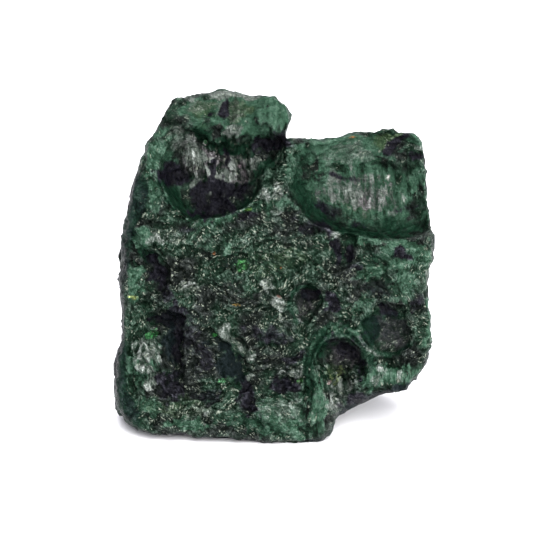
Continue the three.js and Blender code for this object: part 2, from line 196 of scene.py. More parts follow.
@dataclass(frozen=True)
class Hollow(Oval):
    """A pocket whose wall is steepest towards the direction steep, in degrees from u.

    Attributes:
        depth: How deep it is.
        steep: Where its wall is steepest.
        soft: The power of the wall's curve away from there.
        hard: The power there.
        crisp: How upright the wall stands there, from 0 to 1.
        lip: How far the rim stands up there.
    """

    depth: float = 1.0
    steep: float = 90.0
    soft: float = 1.2
    hard: float = 0.8
    crisp: float = 0.0
    lip: float = 0.0

    LIP_AT, LIP_WIDTH = 1.06, 0.09  # where its crest lies, if the rim is at 1
    WALL_FROM, WALL_TO = (0.6, 0.12), (1.06, 0.06)  # where the upright wall starts and ends, and how fast
    # how the places in and round a crisp hollow crowd at its rim: distances from its middle, old and new
    CROWDING = ((0.0, 0.7, 1.0, 1.12, 1.36), (0.0, 0.95, 1.0, 1.025, 1.36))

    def cut(self, u: Floats, v: Floats) -> tuple[Floats, Floats, Floats, Floats]:
        """The pocket at some places.

        Args:
            u, v: Places on the face.

        Returns:
            The depth, the lip's height, how far the places move outwards, as a share of their distance from
            the middle, and how much each lies on the upright wall.
        """
        far = self.far(u, v)
        facing = smooth(0.5 + 0.5 * self.facing(u, v, self.steep))
        power = self.soft + (self.hard - self.soft) * facing
        rim = self.lip * facing * np.exp(-(((far - self.LIP_AT) / self.LIP_WIDTH) ** 2))
        depth = self.depth * np.maximum(1 - far**2, 0) ** power
        moved = np.where(far < self.CROWDING[0][-1], np.interp(far, *self.CROWDING), far)
        outward = self.crisp * facing**2 * (moved - far) / np.maximum(far, 1e-6)
        (start, start_run), (end, end_run) = self.WALL_FROM, self.WALL_TO
        wall = self.crisp * facing * smooth((far - start) / start_run) * smooth((end - far) / end_run)
        return depth, rim, outward, wall


@dataclass(frozen=True)
class Lump(Oval):
    """A lobe, knob or block that stands out. A small edge gives a flat top."""

    height: float = 1.0
    edge: float = 1.0

    def rise(self, u: Floats, v: Floats) -> Floats:
        """Its height at [u, v]."""
        return self.height * smooth((1 - self.far(u, v)) / self.edge)


@dataclass(frozen=True)
class Ledge:
    """Above its line the face stands forward by height, which it gains over run and loses over reach."""

    line: tuple[Point, ...]
    height: float
    run: float
    reach: float

    START, END = (3, 0.3), (2, 0.6)  # over what way it starts and ends, and how much of that is past its tips

    def rise(self, u: Floats, v: Floats) -> Floats:
        """Its height at [u, v]."""
        across, up = zip(*self.line)
        above = v - np.interp(u, across, up)
        (start_run, before), (end_run, after) = self.START, self.END
        along = smooth((u - across[0]) / start_run + before) * smooth((across[-1] - u) / end_run + after)
        return self.height * smooth(above / self.run + 0.5) * (1 - smooth(above / self.reach)) * along


@dataclass(frozen=True)
class Seam:
    """A thin line across the face: a ridge if its height is above 0, a crack if it is below."""

    line: tuple[Point, ...]
    width: float
    height: float

    def rise(self, u: Floats, v: Floats) -> Floats:
        """Its height at [u, v]."""
        near = np.full(u.shape, 1e9)
        for (au, av), (bu, bv) in zip(self.line, self.line[1:]):
            length = math.hypot(bu - au, bv - av)
            t = np.clip(((u - au) * (bu - au) + (v - av) * (bv - av)) / length**2, 0, 1)
            near = np.minimum(near, np.hypot(u - au - t * (bu - au), v - av - t * (bv - av)))
        return self.height * np.exp(-((near / self.width) ** 2))


@dataclass(frozen=True)
class Ribs(Oval):
    """Long splinters, side by side, that fade out at the ellipse.

    Attributes:
        grain: A splinter's width and length.
        lean: How far they lean from upright, in degrees, anticlockwise.
        height: How far they stand out.
        seed: Picks the pattern.
        tint: How much they differ in brightness.
        narrow: How sharp their edges are.
    """

    grain: Point = (1.0, 5.0)
    lean: float = 0.0
    height: float = 0.3
    seed: float = 200.0
    tint: float = 0.5
    narrow: float = 14.0

    def rise(self, u: Floats, v: Floats, w: Floats) -> Floats:
        """Their height at [u, v, w]."""
        angle = math.radians(self.lean)
        across = (u * math.cos(angle) + v * math.sin(angle)) / self.grain[0]
        along = (v * math.cos(angle) - u * math.sin(angle)) / self.grain[1]
        chips = facets(across, along, w / self.grain[1], self.seed, self.narrow)
        return self.height * self.shown(u, v) * chips

    def shown(self, u: Floats, v: Floats) -> Floats:
        """How much of them there is at [u, v]."""
        return smooth((self.REACH - self.far(u, v)) / self.FADE)


@dataclass(frozen=True)
class Rings(Oval):
    """Curved growth lines round a hollow.

    Attributes:
        pitch: From one to the next, as a share of the ellipse's half widths.
        reach: How far out they go.
        towards: Where they are strongest, in degrees from u.
        height: How far they stand in and out.
    """

    pitch: float = 0.2
    reach: float = 0.6
    towards: float = 90.0
    height: float = 0.15

    def rise(self, u: Floats, v: Floats) -> Floats:
        """Their height at [u, v]."""
        far = self.far(u, v) - 1
        facing = smooth(0.5 + 0.9 * self.facing(u, v, self.towards))
        shown = smooth((far + 0.1) / 0.15) * smooth((self.reach - far) / 0.25)
        wave = np.cos(2 * math.pi * far / self.pitch + 2.0 * ripple(u, v, 2.5, 350))
        return self.height * facing * shown * wave


@dataclass(frozen=True)
class Patch(Oval):
    """Where one mineral shows on the face."""

    mineral: Mineral = Mineral.MICA
    amount: float = 1.0

    FADE = 0.8

    def shown(self, u: Floats, v: Floats, ragged: Floats) -> Floats:
        """How much of it shows at [u, v]: ragged moves the edge in and out."""
        return self.amount * smooth((self.REACH - self.far(u, v) + ragged) / self.FADE)


def patches_of(mineral: Mineral, *ovals: tuple[float, ...]) -> tuple[Patch, ...]:
    """Patches of one mineral.

    Args:
        mineral: The mineral.
        ovals: Each one's middle u and v, half width, half height, amount, and turn if it has one.

    Returns:
        The patches.
    """
    return tuple(
        Patch((u, v), (wide, high), turn[0] if turn else 0, mineral, amount)
        for u, v, wide, high, amount, *turn in ovals
    )


@dataclass(frozen=True)
class Halo(Oval):
    """A band of one mineral along the rim of a hollow.

    Attributes:
        mineral: The mineral.
        amount: How much of it shows where it is strongest.
        width: The band's half width, as a share of the ellipse's.
        towards: Where it is strongest, in degrees from u.
    """

    mineral: Mineral = Mineral.DEEP
    amount: float = 1.0
    width: float = 0.15
    towards: float = -90.0

    def shown(self, u: Floats, v: Floats, ragged: Floats) -> Floats:
        """How much of it shows at [u, v]: ragged moves the band in and out."""
        facing = smooth(0.6 + 0.6 * self.facing(u, v, self.towards))
        return self.amount * facing * np.exp(-(((self.far(u, v) - 1 + 0.2 * ragged) / self.width) ** 2))


@dataclass(frozen=True)
class Fleck(Oval):
    """A bright chip of another colour, in sRGB hex."""

    colour: str = "#3fae4a"


@dataclass(frozen=True)
class Clouds:
    """Where one mineral shows on the sides and the back.

    Attributes:
        mineral: The mineral.
        share: How much of it shows where it is strongest.
        level: How common it is.
        swells: The height, the size along u, v and w, and the seed of each layer of swells.
        aloft: How much more common it is near the top, which makes the top a painted highlight.
        fades: How much less of it shows there, for the same painted highlight.
    """

    mineral: Mineral
    share: float
    level: float
    swells: tuple[tuple[float, Point3, float], ...]
    aloft: float = 0.0
    fades: float = 0.0

    def shown(self, u: Floats, v: Floats, w: Floats, aloft: Floats) -> Floats:
        """How much of it shows, before its share is taken.

        Args:
            u, v, w: Places on the stone.
            aloft: How near the top each lies, from 0 to 1.

        Returns:
            Values from 0 to 1.
        """
        level = self.level + self.aloft * aloft
        for height, (wide, high, thick), seed in self.swells:
            level = level + height * swell(u / wide, v / high, w / thick, seed)
        return (1 - self.fades * aloft) * smooth(level)


@dataclass(frozen=True)
class Chips:
    """One layer of chipped facets.

    Attributes:
        size: A chip's width along u and v. Along w it is as wide as the second.
        height: How far the chips stand in or out.
        seed: Picks the pattern.
        narrow: How sharp their edges are.
    """

    size: Point
    height: float
    seed: float
    narrow: float = 10.0

    def rise(self, u: Floats, v: Floats, w: Floats) -> Floats:
        """Their height at [u, v, w]."""
        wide, high = self.size
        return self.height * facets(u / wide, v / high, w / high, self.seed, self.narrow)


def by_side(angle: Floats, sides: Sides) -> Floats:
    """Blends four values by the side of the stone that an angle points to.

    Args:
        angle: Directions from the face's centre, in radians from u.
        sides: The values.

    Returns:
        One value for each angle.
    """
    right, above, left, below = sides
    across, up = np.cos(angle), np.sin(angle)
    return across**2 * np.where(across > 0, right, left) + up**2 * np.where(up > 0, above, below)


@dataclass
class HollowedFace:
    """The broken front of the stone, with its great hollows, pits, lobes and ledges.

    Attributes:
        crown_at: Where it stands out most. It falls off round that by crown_curve, from crown_height.
        swells: The width, height and seed of its broad swells.
        shake: The width and height of the wobbles in the hollows' and lumps' outlines, and shake_seeds
            their patterns along u and v.
        hollow_blend: The depth at which a place counts as inside a hollow.
        loose_part: How much of the way to the rim is too near it to move outwards.
        chips: The facets all over it.
        hollows: The pockets in it. The other fields are what stands out of it.
    """

    crown_at: Point = (-1.0, 22.0)
    crown_height: float = 0.6
    crown_curve: Point = (0.04, 0.032)
    swells: Point3 = (9.0, 0.9, 3)
    shake: Point = (3.4, 0.7)
    shake_seeds: Point = (21, 23)
    hollow_blend: float = 1.2
    loose_part: float = 0.12
    chips: tuple[Chips, ...] = (Chips((4.0, 3.4), 0.45, 40), Chips((1.9, 1.5), 0.2, 60))
    hollows: tuple[Hollow, ...] = (
        # the left great hollow, its steep right end and the dent above that
        Hollow((-9.7, 44.4), (8.4, 8.1), 0, 7.0, -95, 1.1, 0.6, 1.0, 0.5),
        Hollow((-4.0, 45.7), (7.3, 3.6), 55, 5.0, -35, 1.3, 0.8, 0.7),
        Hollow((0.0, 48.8), (3.2, 1.9), -5, 1.8, 90, 1.4, 0.8),
        # the right great hollow
        Hollow((16.2, 42.3), (13.6, 8.9), -6, 5.6, -80, 1.0, 0.65, 0.6, 0.4),
        # the round pits at the lower right
        Hollow((19.1, 18.9), (4.3, 4.3), 0, 2.9, 150, 1.1, 0.8, 0.3, 0.2),
        Hollow((10.9, 11.8), (4.3, 6.2), 0, 4.0, 100, 1.5, 0.9, 0.4, 0.2),
        Hollow((5.5, 22.5), (2.5, 3.1), 0, 2.2, 60, 0.8, 0.7, 0.6, 0.25),
        # the small pits above them
        Hollow((11.2, 31.3), (2.6, 2.8), 0, 2.0, 20, 1.2, 0.7, 0.4, 0.1),
        Hollow((15.7, 31.8), (1.3, 1.3), 0, 0.9, 90, 1.0, 0.8),
        Hollow((21.1, 30.6), (2.3, 1.1), 0, 1.0, 90, 1.2, 0.6),
        Hollow((17.0, 25.4), (4.0, 2.8), 0, 1.6, 90, 1.4, 0.9),
        # the gashes at the left and the slab's bed
        Hollow((-19.0, 28.0), (2.1, 3.7), 12, 2.6, 110, 1.4, 0.8),
        Hollow((-17.5, 20.2), (3.4, 1.8), -8, 2.8, 90, 1.2, 0.6),
        Hollow((-15.6, 15.4), (1.8, 6.8), 8, 2.2, 0, 1.2, 0.7),
        Hollow((-5.8, 12.8), (3.1, 5.8), 8, 1.9, 45, 1.0, 0.7, 0.6),
        # the dents in the top
        Hollow((-6.5, 54.3), (1.0, 2.4), -8, 1.2, 90, 1.4, 0.9),
        Hollow((20.1, 48.8), (3.6, 1.3), 38, 1.6, -45, 1.2, 0.8),
        # the shallow dips of the plane
        Hollow((-10.0, 22.5), (2.6, 1.9), 0, 1.0, 90, 1.6, 1.0),
        Hollow((3.6, 29.6), (2.8, 1.9), 0, 0.9, 90, 1.6, 1.0),
        Hollow((4.5, 16.2), (3.9, 1.6), 20, 0.9, -90, 1.6, 0.9),
        Hollow((-11.7, 29.6), (2.8, 2.1), 0, 0.9, 90, 1.6, 1.0),
        Hollow((-12.0, 8.1), (4.2, 2.3), -12, 1.1, 90, 1.6, 1.0),
        Hollow((-1.6, 11.3), (3.6, 1.6), -8, 1.0, 90, 1.4, 0.8),
    )
    lumps: tuple[Lump, ...] = (
        # the shoulder between the great hollows, with its knobs
        Lump((1.0, 39.5), (7.1, 4.9), 0, 2.6),
        Lump((3.2, 45.2), (3.1, 7.5), -14, 2.2),
        Lump((-1.3, 40.3), (1.8, 1.3), 15, 0.8, 0.6),
        Lump((1.1, 40.8), (1.5, 1.1), 0, 0.7, 0.6),
        Lump((1.1, 38.1), (1.6, 1.3), 0, 0.6, 0.6),
        # the lobes at the left
        Lump((-17.3, 39.2), (4.0, 4.0), 0, 2.4),
        Lump((-20.4, 33.4), (3.1, 3.1), 0, 1.8),
        Lump((-20.1, 12.8), (4.5, 5.3), 10, 2.6),
        # the knobs on the plane
        Lump((-0.6, 25.6), (1.8, 1.6), 0, 1.3, 0.7),
        Lump((1.3, 22.5), (1.5, 1.9), 0, 1.0, 0.7),
        Lump((-7.3, 31.3), (1.6, 1.6), 0, 0.9),
        Lump((-7.1, 17.8), (2.3, 1.3), -35, 0.9),
        # the blocks at the foot and the rim of the notch
        Lump((2.1, 5.3), (6.2, 3.9), 0, 1.5, 0.45),
        Lump((7.5, 7.9), (2.8, 8.4), -6, 2.1, 0.8),
        Lump((18.8, 11.0), (5.5, 2.9), 2, 2.0, 0.5),
        Lump((13.0, 10.5), (1.9, 2.4), 0, 1.1),
        # low swellings
        Lump((23.7, 49.2), (1.8, 1.9), 0, 1.0),
        Lump((-12.6, 3.4), (5.8, 1.9), 0, 1.2),
        Lump((-7.8, 26.6), (2.3, 3.1), 20, 1.0),
        Lump((-17.2, 23.5), (3.2, 1.9), 5, 1.2),
        Lump((1.6, 55.2), (3.9, 4.5), 0, 0.9),
        Lump((-2.8, 34.5), (9.7, 4.2), -4, 0.9),
        Lump((11.8, 25.1), (4.9, 3.9), 0, 0.8),
    )
    ledges: tuple[Ledge, ...] = (
        Ledge(
            (
                (-17.2, 53.0), (-12.8, 51.2), (-9.6, 49.2), (-6.5, 48.0), (-4.2, 49.2), (-1.6, 50.5),
                (2.3, 49.7),
            ),
            2.2, 1.3, 5.5,
        ),
        Ledge(
            ((4.5, 45.8), (10.2, 46.0), (13.0, 45.4), (16.7, 46.0), (20.7, 45.5), (25.6, 46.2)),
            0.45, 1.4, 4.2,
        ),
    )
    seams: tuple[Seam, ...] = (
        Seam(((16.8, 44.9), (17.0, 41.3), (16.7, 37.7)), 0.28, -0.5),
        Seam(((-9.7, 19.3), (-6.3, 16.2), (-2.4, 12.8)), 0.3, 0.6),
    )
    ribs: tuple[Ribs, ...] = (
        Ribs((-7.5, 46.0), (7.2, 4.3), 0, (1.1, 4.6), 8, 0.75, 200, 1.0),
        Ribs((15.5, 41.3), (9.5, 4.6), -4, (1.2, 6.0), -3, 0.36, 220),
        Ribs((18.8, 11.6), (5.0, 3.0), 2, (1.0, 6.0), 0, 0.45, 240, 0.9),
        Ribs((7.3, 7.6), (2.2, 7.5), -4, (0.9, 8.0), -4, 0.35, 260, 1.0),
        Ribs((12.0, 9.8), (2.4, 2.4), 0, (0.8, 3.0), -25, 0.5, 280, 0.9),
        Ribs((-20.1, 12.6), (3.6, 4.6), 10, (0.9, 3.6), 35, 0.55, 300, 0.8),
        Ribs((-20.4, 32.4), (3.4, 3.4), 30, (0.9, 3.0), 40, 0.4, 320),
        Ribs((0.6, 53.6), (3.6, 4.6), 0, (1.0, 5.0), -3, 0.2, 360),
    )
    rings: tuple[Rings, ...] = (
        Rings((10.9, 11.8), (4.3, 6.2), 0, 0.22, 0.65, 115, 0.2),
        Rings((16.2, 42.3), (11.6, 7.2), -6, 0.09, 0.25, -120, 0.14),
        Rings((-9.7, 44.4), (8.3, 8.0), 0, 0.11, 0.3, -140, 0.1),
    )

    def skin(self, u: Floats, v: Floats, loose: Floats) -> tuple[Floats, Floats, Floats, Floats, Floats]:
        """The face's skin.

        Args:
            u, v: Places on the face.
            loose: How freely a place may move outwards in a crisp hollow, from 0 to 1.

        Returns:
            u, v and w of each place, how deep it lies in hollows, and how much on an upright wall.
        """
        size, height = self.shake
        shaken_u, shaken_v = (
            t + height * ripple(u, v, size, seed) for t, seed in zip((u, v), self.shake_seeds)
        )
        w = self.crown_height - ((u - self.crown_at[0]) * self.crown_curve[0]) ** 2
        w = w - ((v - self.crown_at[1]) * self.crown_curve[1]) ** 2
        size, height, seed = self.swells
        w = w + height * ripple(u, v, size, seed)
        for lump in self.lumps:
            w = w + lump.rise(shaken_u, shaken_v)
        cuts = [hollow.cut(shaken_u, shaken_v) for hollow in self.hollows]
        cubes = sum(depth**3 for depth, _, _, _ in cuts)
        deep = np.cbrt(cubes)
        lips, walls = 0.0 * u, 0.0 * u
        moved_u, moved_v = u, v
        for hollow, (depth, lip, outward, wall) in zip(self.hollows, cuts):
            alone = 1 - smooth(np.cbrt(np.maximum(cubes - depth**3, 0)) / self.hollow_blend)
            walls = np.maximum(walls, alone * wall)
            lips = lips + alone * lip
            moved_u = moved_u + loose * alone * outward * (shaken_u - hollow.at[0])
            moved_v = moved_v + loose * alone * outward * (shaken_v - hollow.at[1])
        inside = smooth(deep / self.hollow_blend)
        w = w + lips * (1 - inside) - deep
        for ledge in self.ledges:
            w = w + ledge.rise(u, v)
        for layer in self.chips:
            w = w + (1 - 0.5 * inside) * layer.rise(moved_u, moved_v, w)
        return moved_u, moved_v, w, deep, walls


@dataclass
class StoneForm:
    """The whole stone's shape, for directions on a sphere whose pole looks out of the face.

    Attributes:
        face: The hollowed front.
        lean: How far it leans back, in radians.
        foot_depth: From the foot of the face to the back of the stone.
        foot_level: Where the floor cuts the face's frame.
        centre: The middle of the face, [u, v].
        face_share: How much of the sphere makes the face, and side_share how much makes the side.
        rim_inset: From the outline in to the face's rim.
        rim_drop: From the rim back to where the stone is widest.
        bevel_part: How much of the side is the bevel between those two.
        back_inset: How much narrower the back is, and under_straight how much less of that the foot has.
        back_curve: How fast the back comes forward towards its sides.
        back_swell: The width, height and seed of its swells.
        round_span: The angle over which the back's outline is evened out.
        under_height: How far up the outline the underside reaches.
        under_step: How far the underside dips behind the foot, over the way under_run.
        recess_angle: Where the notch lies from the centre, and recess_spread its width, in radians.
        recess_inset: How much further in the rim lies there, and recess_drop how much further back.
        side_chips: The large chips of the side and the back.
        undercut: The place [u, v], the reach and the depth of the undercut step between the shoulders.
        outline: The stone's outline from the front, clockwise from the top left.
    """

    face: HollowedFace = field(default_factory=HollowedFace)
    lean: float = LEAN
    foot_depth: float = 26.0
    foot_level: float = -0.2
    centre: Point = (-5.2, 25.1)
    face_share: float = 0.6
    side_share: float = 0.24
    rim_inset: Sides = (0.7, 1.1, 2.0, 1.5)
    rim_drop: Sides = (3.0, 4.0, 5.0, 2.6)
    bevel_part: float = 0.22
    back_inset: float = 3.0
    under_straight: float = 0.75
    back_curve: float = 0.0035
    back_swell: Point3 = (13.0, 1.6, 5.0)
    round_span: float = 0.3
    under_height: float = 10.0
    under_step: float = 1.4
    under_run: float = 5.0
    recess_angle: float = -0.86
    recess_spread: float = 0.19
    recess_inset: float = 2.6
    recess_drop: float = 4.5
    side_chips: tuple[Chips, ...] = (Chips((8.5, 8.5), 1.7, 140), Chips((3.6, 3.6), 0.8, 160))
    undercut: tuple[Point, float, float] = ((2.4, 50.5), 1.9, 0.9)
    outline: tuple[Point, ...] = (
        (-15.6, 56.7), (-12.5, 57.1), (-7.8, 57.9), (-3.2, 57.2), (0.6, 57.1), (2.4, 55.6), (3.3, 53.9),
        (3.1, 51.8), (2.9, 49.8), (8.6, 49.7), (13.4, 50.6), (17.8, 51.4), (20.1, 51.6), (20.7, 50.9),
        (23.8, 50.5), (24.7, 49.4), (24.9, 47.0), (25.8, 39.7), (26.2, 32.1), (26.2, 30.0), (25.5, 28.7),
        (25.4, 25.9), (26.1, 19.4), (26.1, 16.4), (25.6, 14.3), (24.5, 12.3), (21.9, 8.9), (17.7, 7.8),
        (15.6, 7.0), (13.6, 5.5), (10.4, 3.9), (9.6, 2.3), (7.8, 0.5), (0.0, 0.0), (-5.2, 0.3),
        (-10.4, 1.1), (-21.7, 1.8), (-24.0, 3.4), (-25.4, 5.8), (-25.8, 13.0), (-24.9, 17.0), (-25.1, 24.9),
        (-24.6, 34.0), (-23.2, 41.6), (-21.1, 46.7), (-20.7, 49.4), (-18.6, 52.3), (-17.3, 54.8),
    )

    def radius(self, angle: Floats) -> Floats:
        """The distance from the face's centre to the outline at each angle, along straight edges."""
        across, up = np.cos(angle), np.sin(angle)
        far = np.zeros(angle.shape)
        corners = [(u - self.centre[0], v - self.centre[1]) for u, v in self.outline]
        for (au, av), (bu, bv) in zip(corners, corners[1:] + corners[:1]):
            side_a, side_b = across * av - up * au, across * bv - up * bu
            met = (side_a >= 0) & (side_b < 0)
            t = side_a / np.where(met, side_a - side_b, 1)
            along = (au + (bu - au) * t) * across + (av + (bv - av) * t) * up
            far = np.where(met, np.maximum(far, along), far)
        return far

    def back_height(self, u: Floats, v: Floats) -> Floats:
        """The back's w: it is upright, so it comes nearer the face towards the top."""
        width, height, seed = self.back_swell
        bulge = height * swell(u / width, v / width, 0 * u + 2.5, seed)
        upright = (v * math.sin(self.lean) - self.foot_depth) / math.cos(self.lean)
        return upright + bulge + self.back_curve * u**2

    def points(self, direction: Floats) -> tuple[Floats, Floats, Floats, Floats]:
        """Moves directions to their places on the stone.

        Args:
            direction: Unit vectors, one in each row.

        Returns:
            The places [u, v, w], how deep each lies in the face's hollows, how much on an upright wall of
            one, and how much each belongs to the face: 1 on it, and 0 past its rim.
        """
        angle = np.arctan2(direction[:, 1], direction[:, 0])
        share = (1 - direction[:, 2]) / 2
        out = np.stack([np.cos(angle), np.sin(angle)])
        full = self.radius(angle)
        recess = np.exp(-(((angle - self.recess_angle) / self.recess_spread) ** 2))
        inset = by_side(angle, self.rim_inset) + self.recess_inset * recess
        drop = by_side(angle, self.rim_drop) + self.recess_drop * recess

        def place(r: Floats) -> tuple[Floats, Floats]:
            """The place at a distance from the face's centre."""
            return self.centre[0] + r * out[0], self.centre[1] + r * out[1]

        # the face
        run = np.sqrt(np.clip(share / self.face_share, 0, 1))
        loose = smooth((1 - run) / self.face.loose_part)
        front_u, front_v, front_w, deep, walls = self.face.skin(*place((full - inset) * run), loose)

        # the side: a bevel behind the rim, then a wall that runs back
        rim = self.face.skin(*place(full - inset), 0 * full)[2]
        widest = rim - drop
        edge = place(full)
        under = np.where(out[1] < 0, 1 - smooth((edge[1] - 1) / self.under_height), 0)
        rounded = np.mean([self.radius(angle + self.round_span * i / 4) for i in range(-4, 5)], axis=0)
        back_inset = (full - np.minimum(rounded, full) + self.back_inset) * (1 - self.under_straight * under)

        def lift(back: Floats) -> Floats:
            """How far the level underside rises in the face's frame, going back."""
            return under * (back * math.tan(self.lean) - self.under_step * smooth(back / self.under_run))

        back_u, back_v = place(full - back_inset)
        depth = widest - self.back_height(back_u, back_v)
        for _ in range(4):
            depth = widest - self.back_height(back_u, back_v + lift(depth))
        t = np.clip((share - self.face_share) / self.side_share, 0, 1)
        bevel = np.minimum(t / self.bevel_part, 1) * math.pi / 2
        along = np.maximum(t - self.bevel_part, 0) / (1 - self.bevel_part)
        side_u, side_v = place(full - inset * (1 - np.sin(bevel)) - back_inset * along**3)
        side_v = side_v + lift(along * depth)
        side_w = widest + (rim - widest) * np.cos(bevel) - along * depth

        # the back
        part = np.sqrt(np.clip((1 - share) / (1 - self.face_share - self.side_share), 0, 1))
        rear_u, rear_v = place((full - back_inset) * part)
        rear_v = rear_v + lift(depth) * part
        rear_w = self.back_height(rear_u, rear_v)

        on_back = share > self.face_share + self.side_share
        on_side = (share > self.face_share) & ~on_back
        sideways = np.where(on_back, smooth(part * 3 - 2), smooth(t * 5) * (0.3 + 0.7 * smooth(along * 4)))
        inward = np.where(on_back, 1, smooth(along * 2 - 1))
        u = np.where(on_back, rear_u, side_u)
        v = np.where(on_back, rear_v, side_v)
        w = np.where(on_back, rear_w, side_w)
        chip = sum(layer.rise(u, v, w) - 0.4 * layer.height for layer in self.side_chips)
        u, v, w = u + out[0] * sideways * chip, v + out[1] * sideways * chip, w - inward * chip
        on_face = ~(on_side | on_back)
        skin = np.where(on_face, (front_u, front_v, front_w), (u, v, w)).T
        belongs = np.where(on_face, 1.0, 1 - smooth(t / self.bevel_part * 0.8)) * ~on_back
        return skin, np.where(on_face, deep, 0), np.where(on_face, walls, 0), belongs

    def stand_up(self, points: Floats) -> Floats:
        """Turns places from the face's frame to the part's own, with the floor at 0.

        Args:
            points: Places [u, v, w], one in each row.

        Returns:
            The same places as [x, y, z]. The step between the two shoulders at the top is undercut here.
        """
        u, v, w = points.T
        (at_u, at_v), reach, depth = self.undercut
        undercut = depth * np.exp(-((np.hypot(u - at_u, v - at_v) / reach) ** 2))
        y = v * math.sin(self.lean) - w * math.cos(self.lean)
        z = v * math.cos(self.lean) + w * math.sin(self.lean) - self.foot_level
        return np.stack([u - undercut, y, z], axis=1)


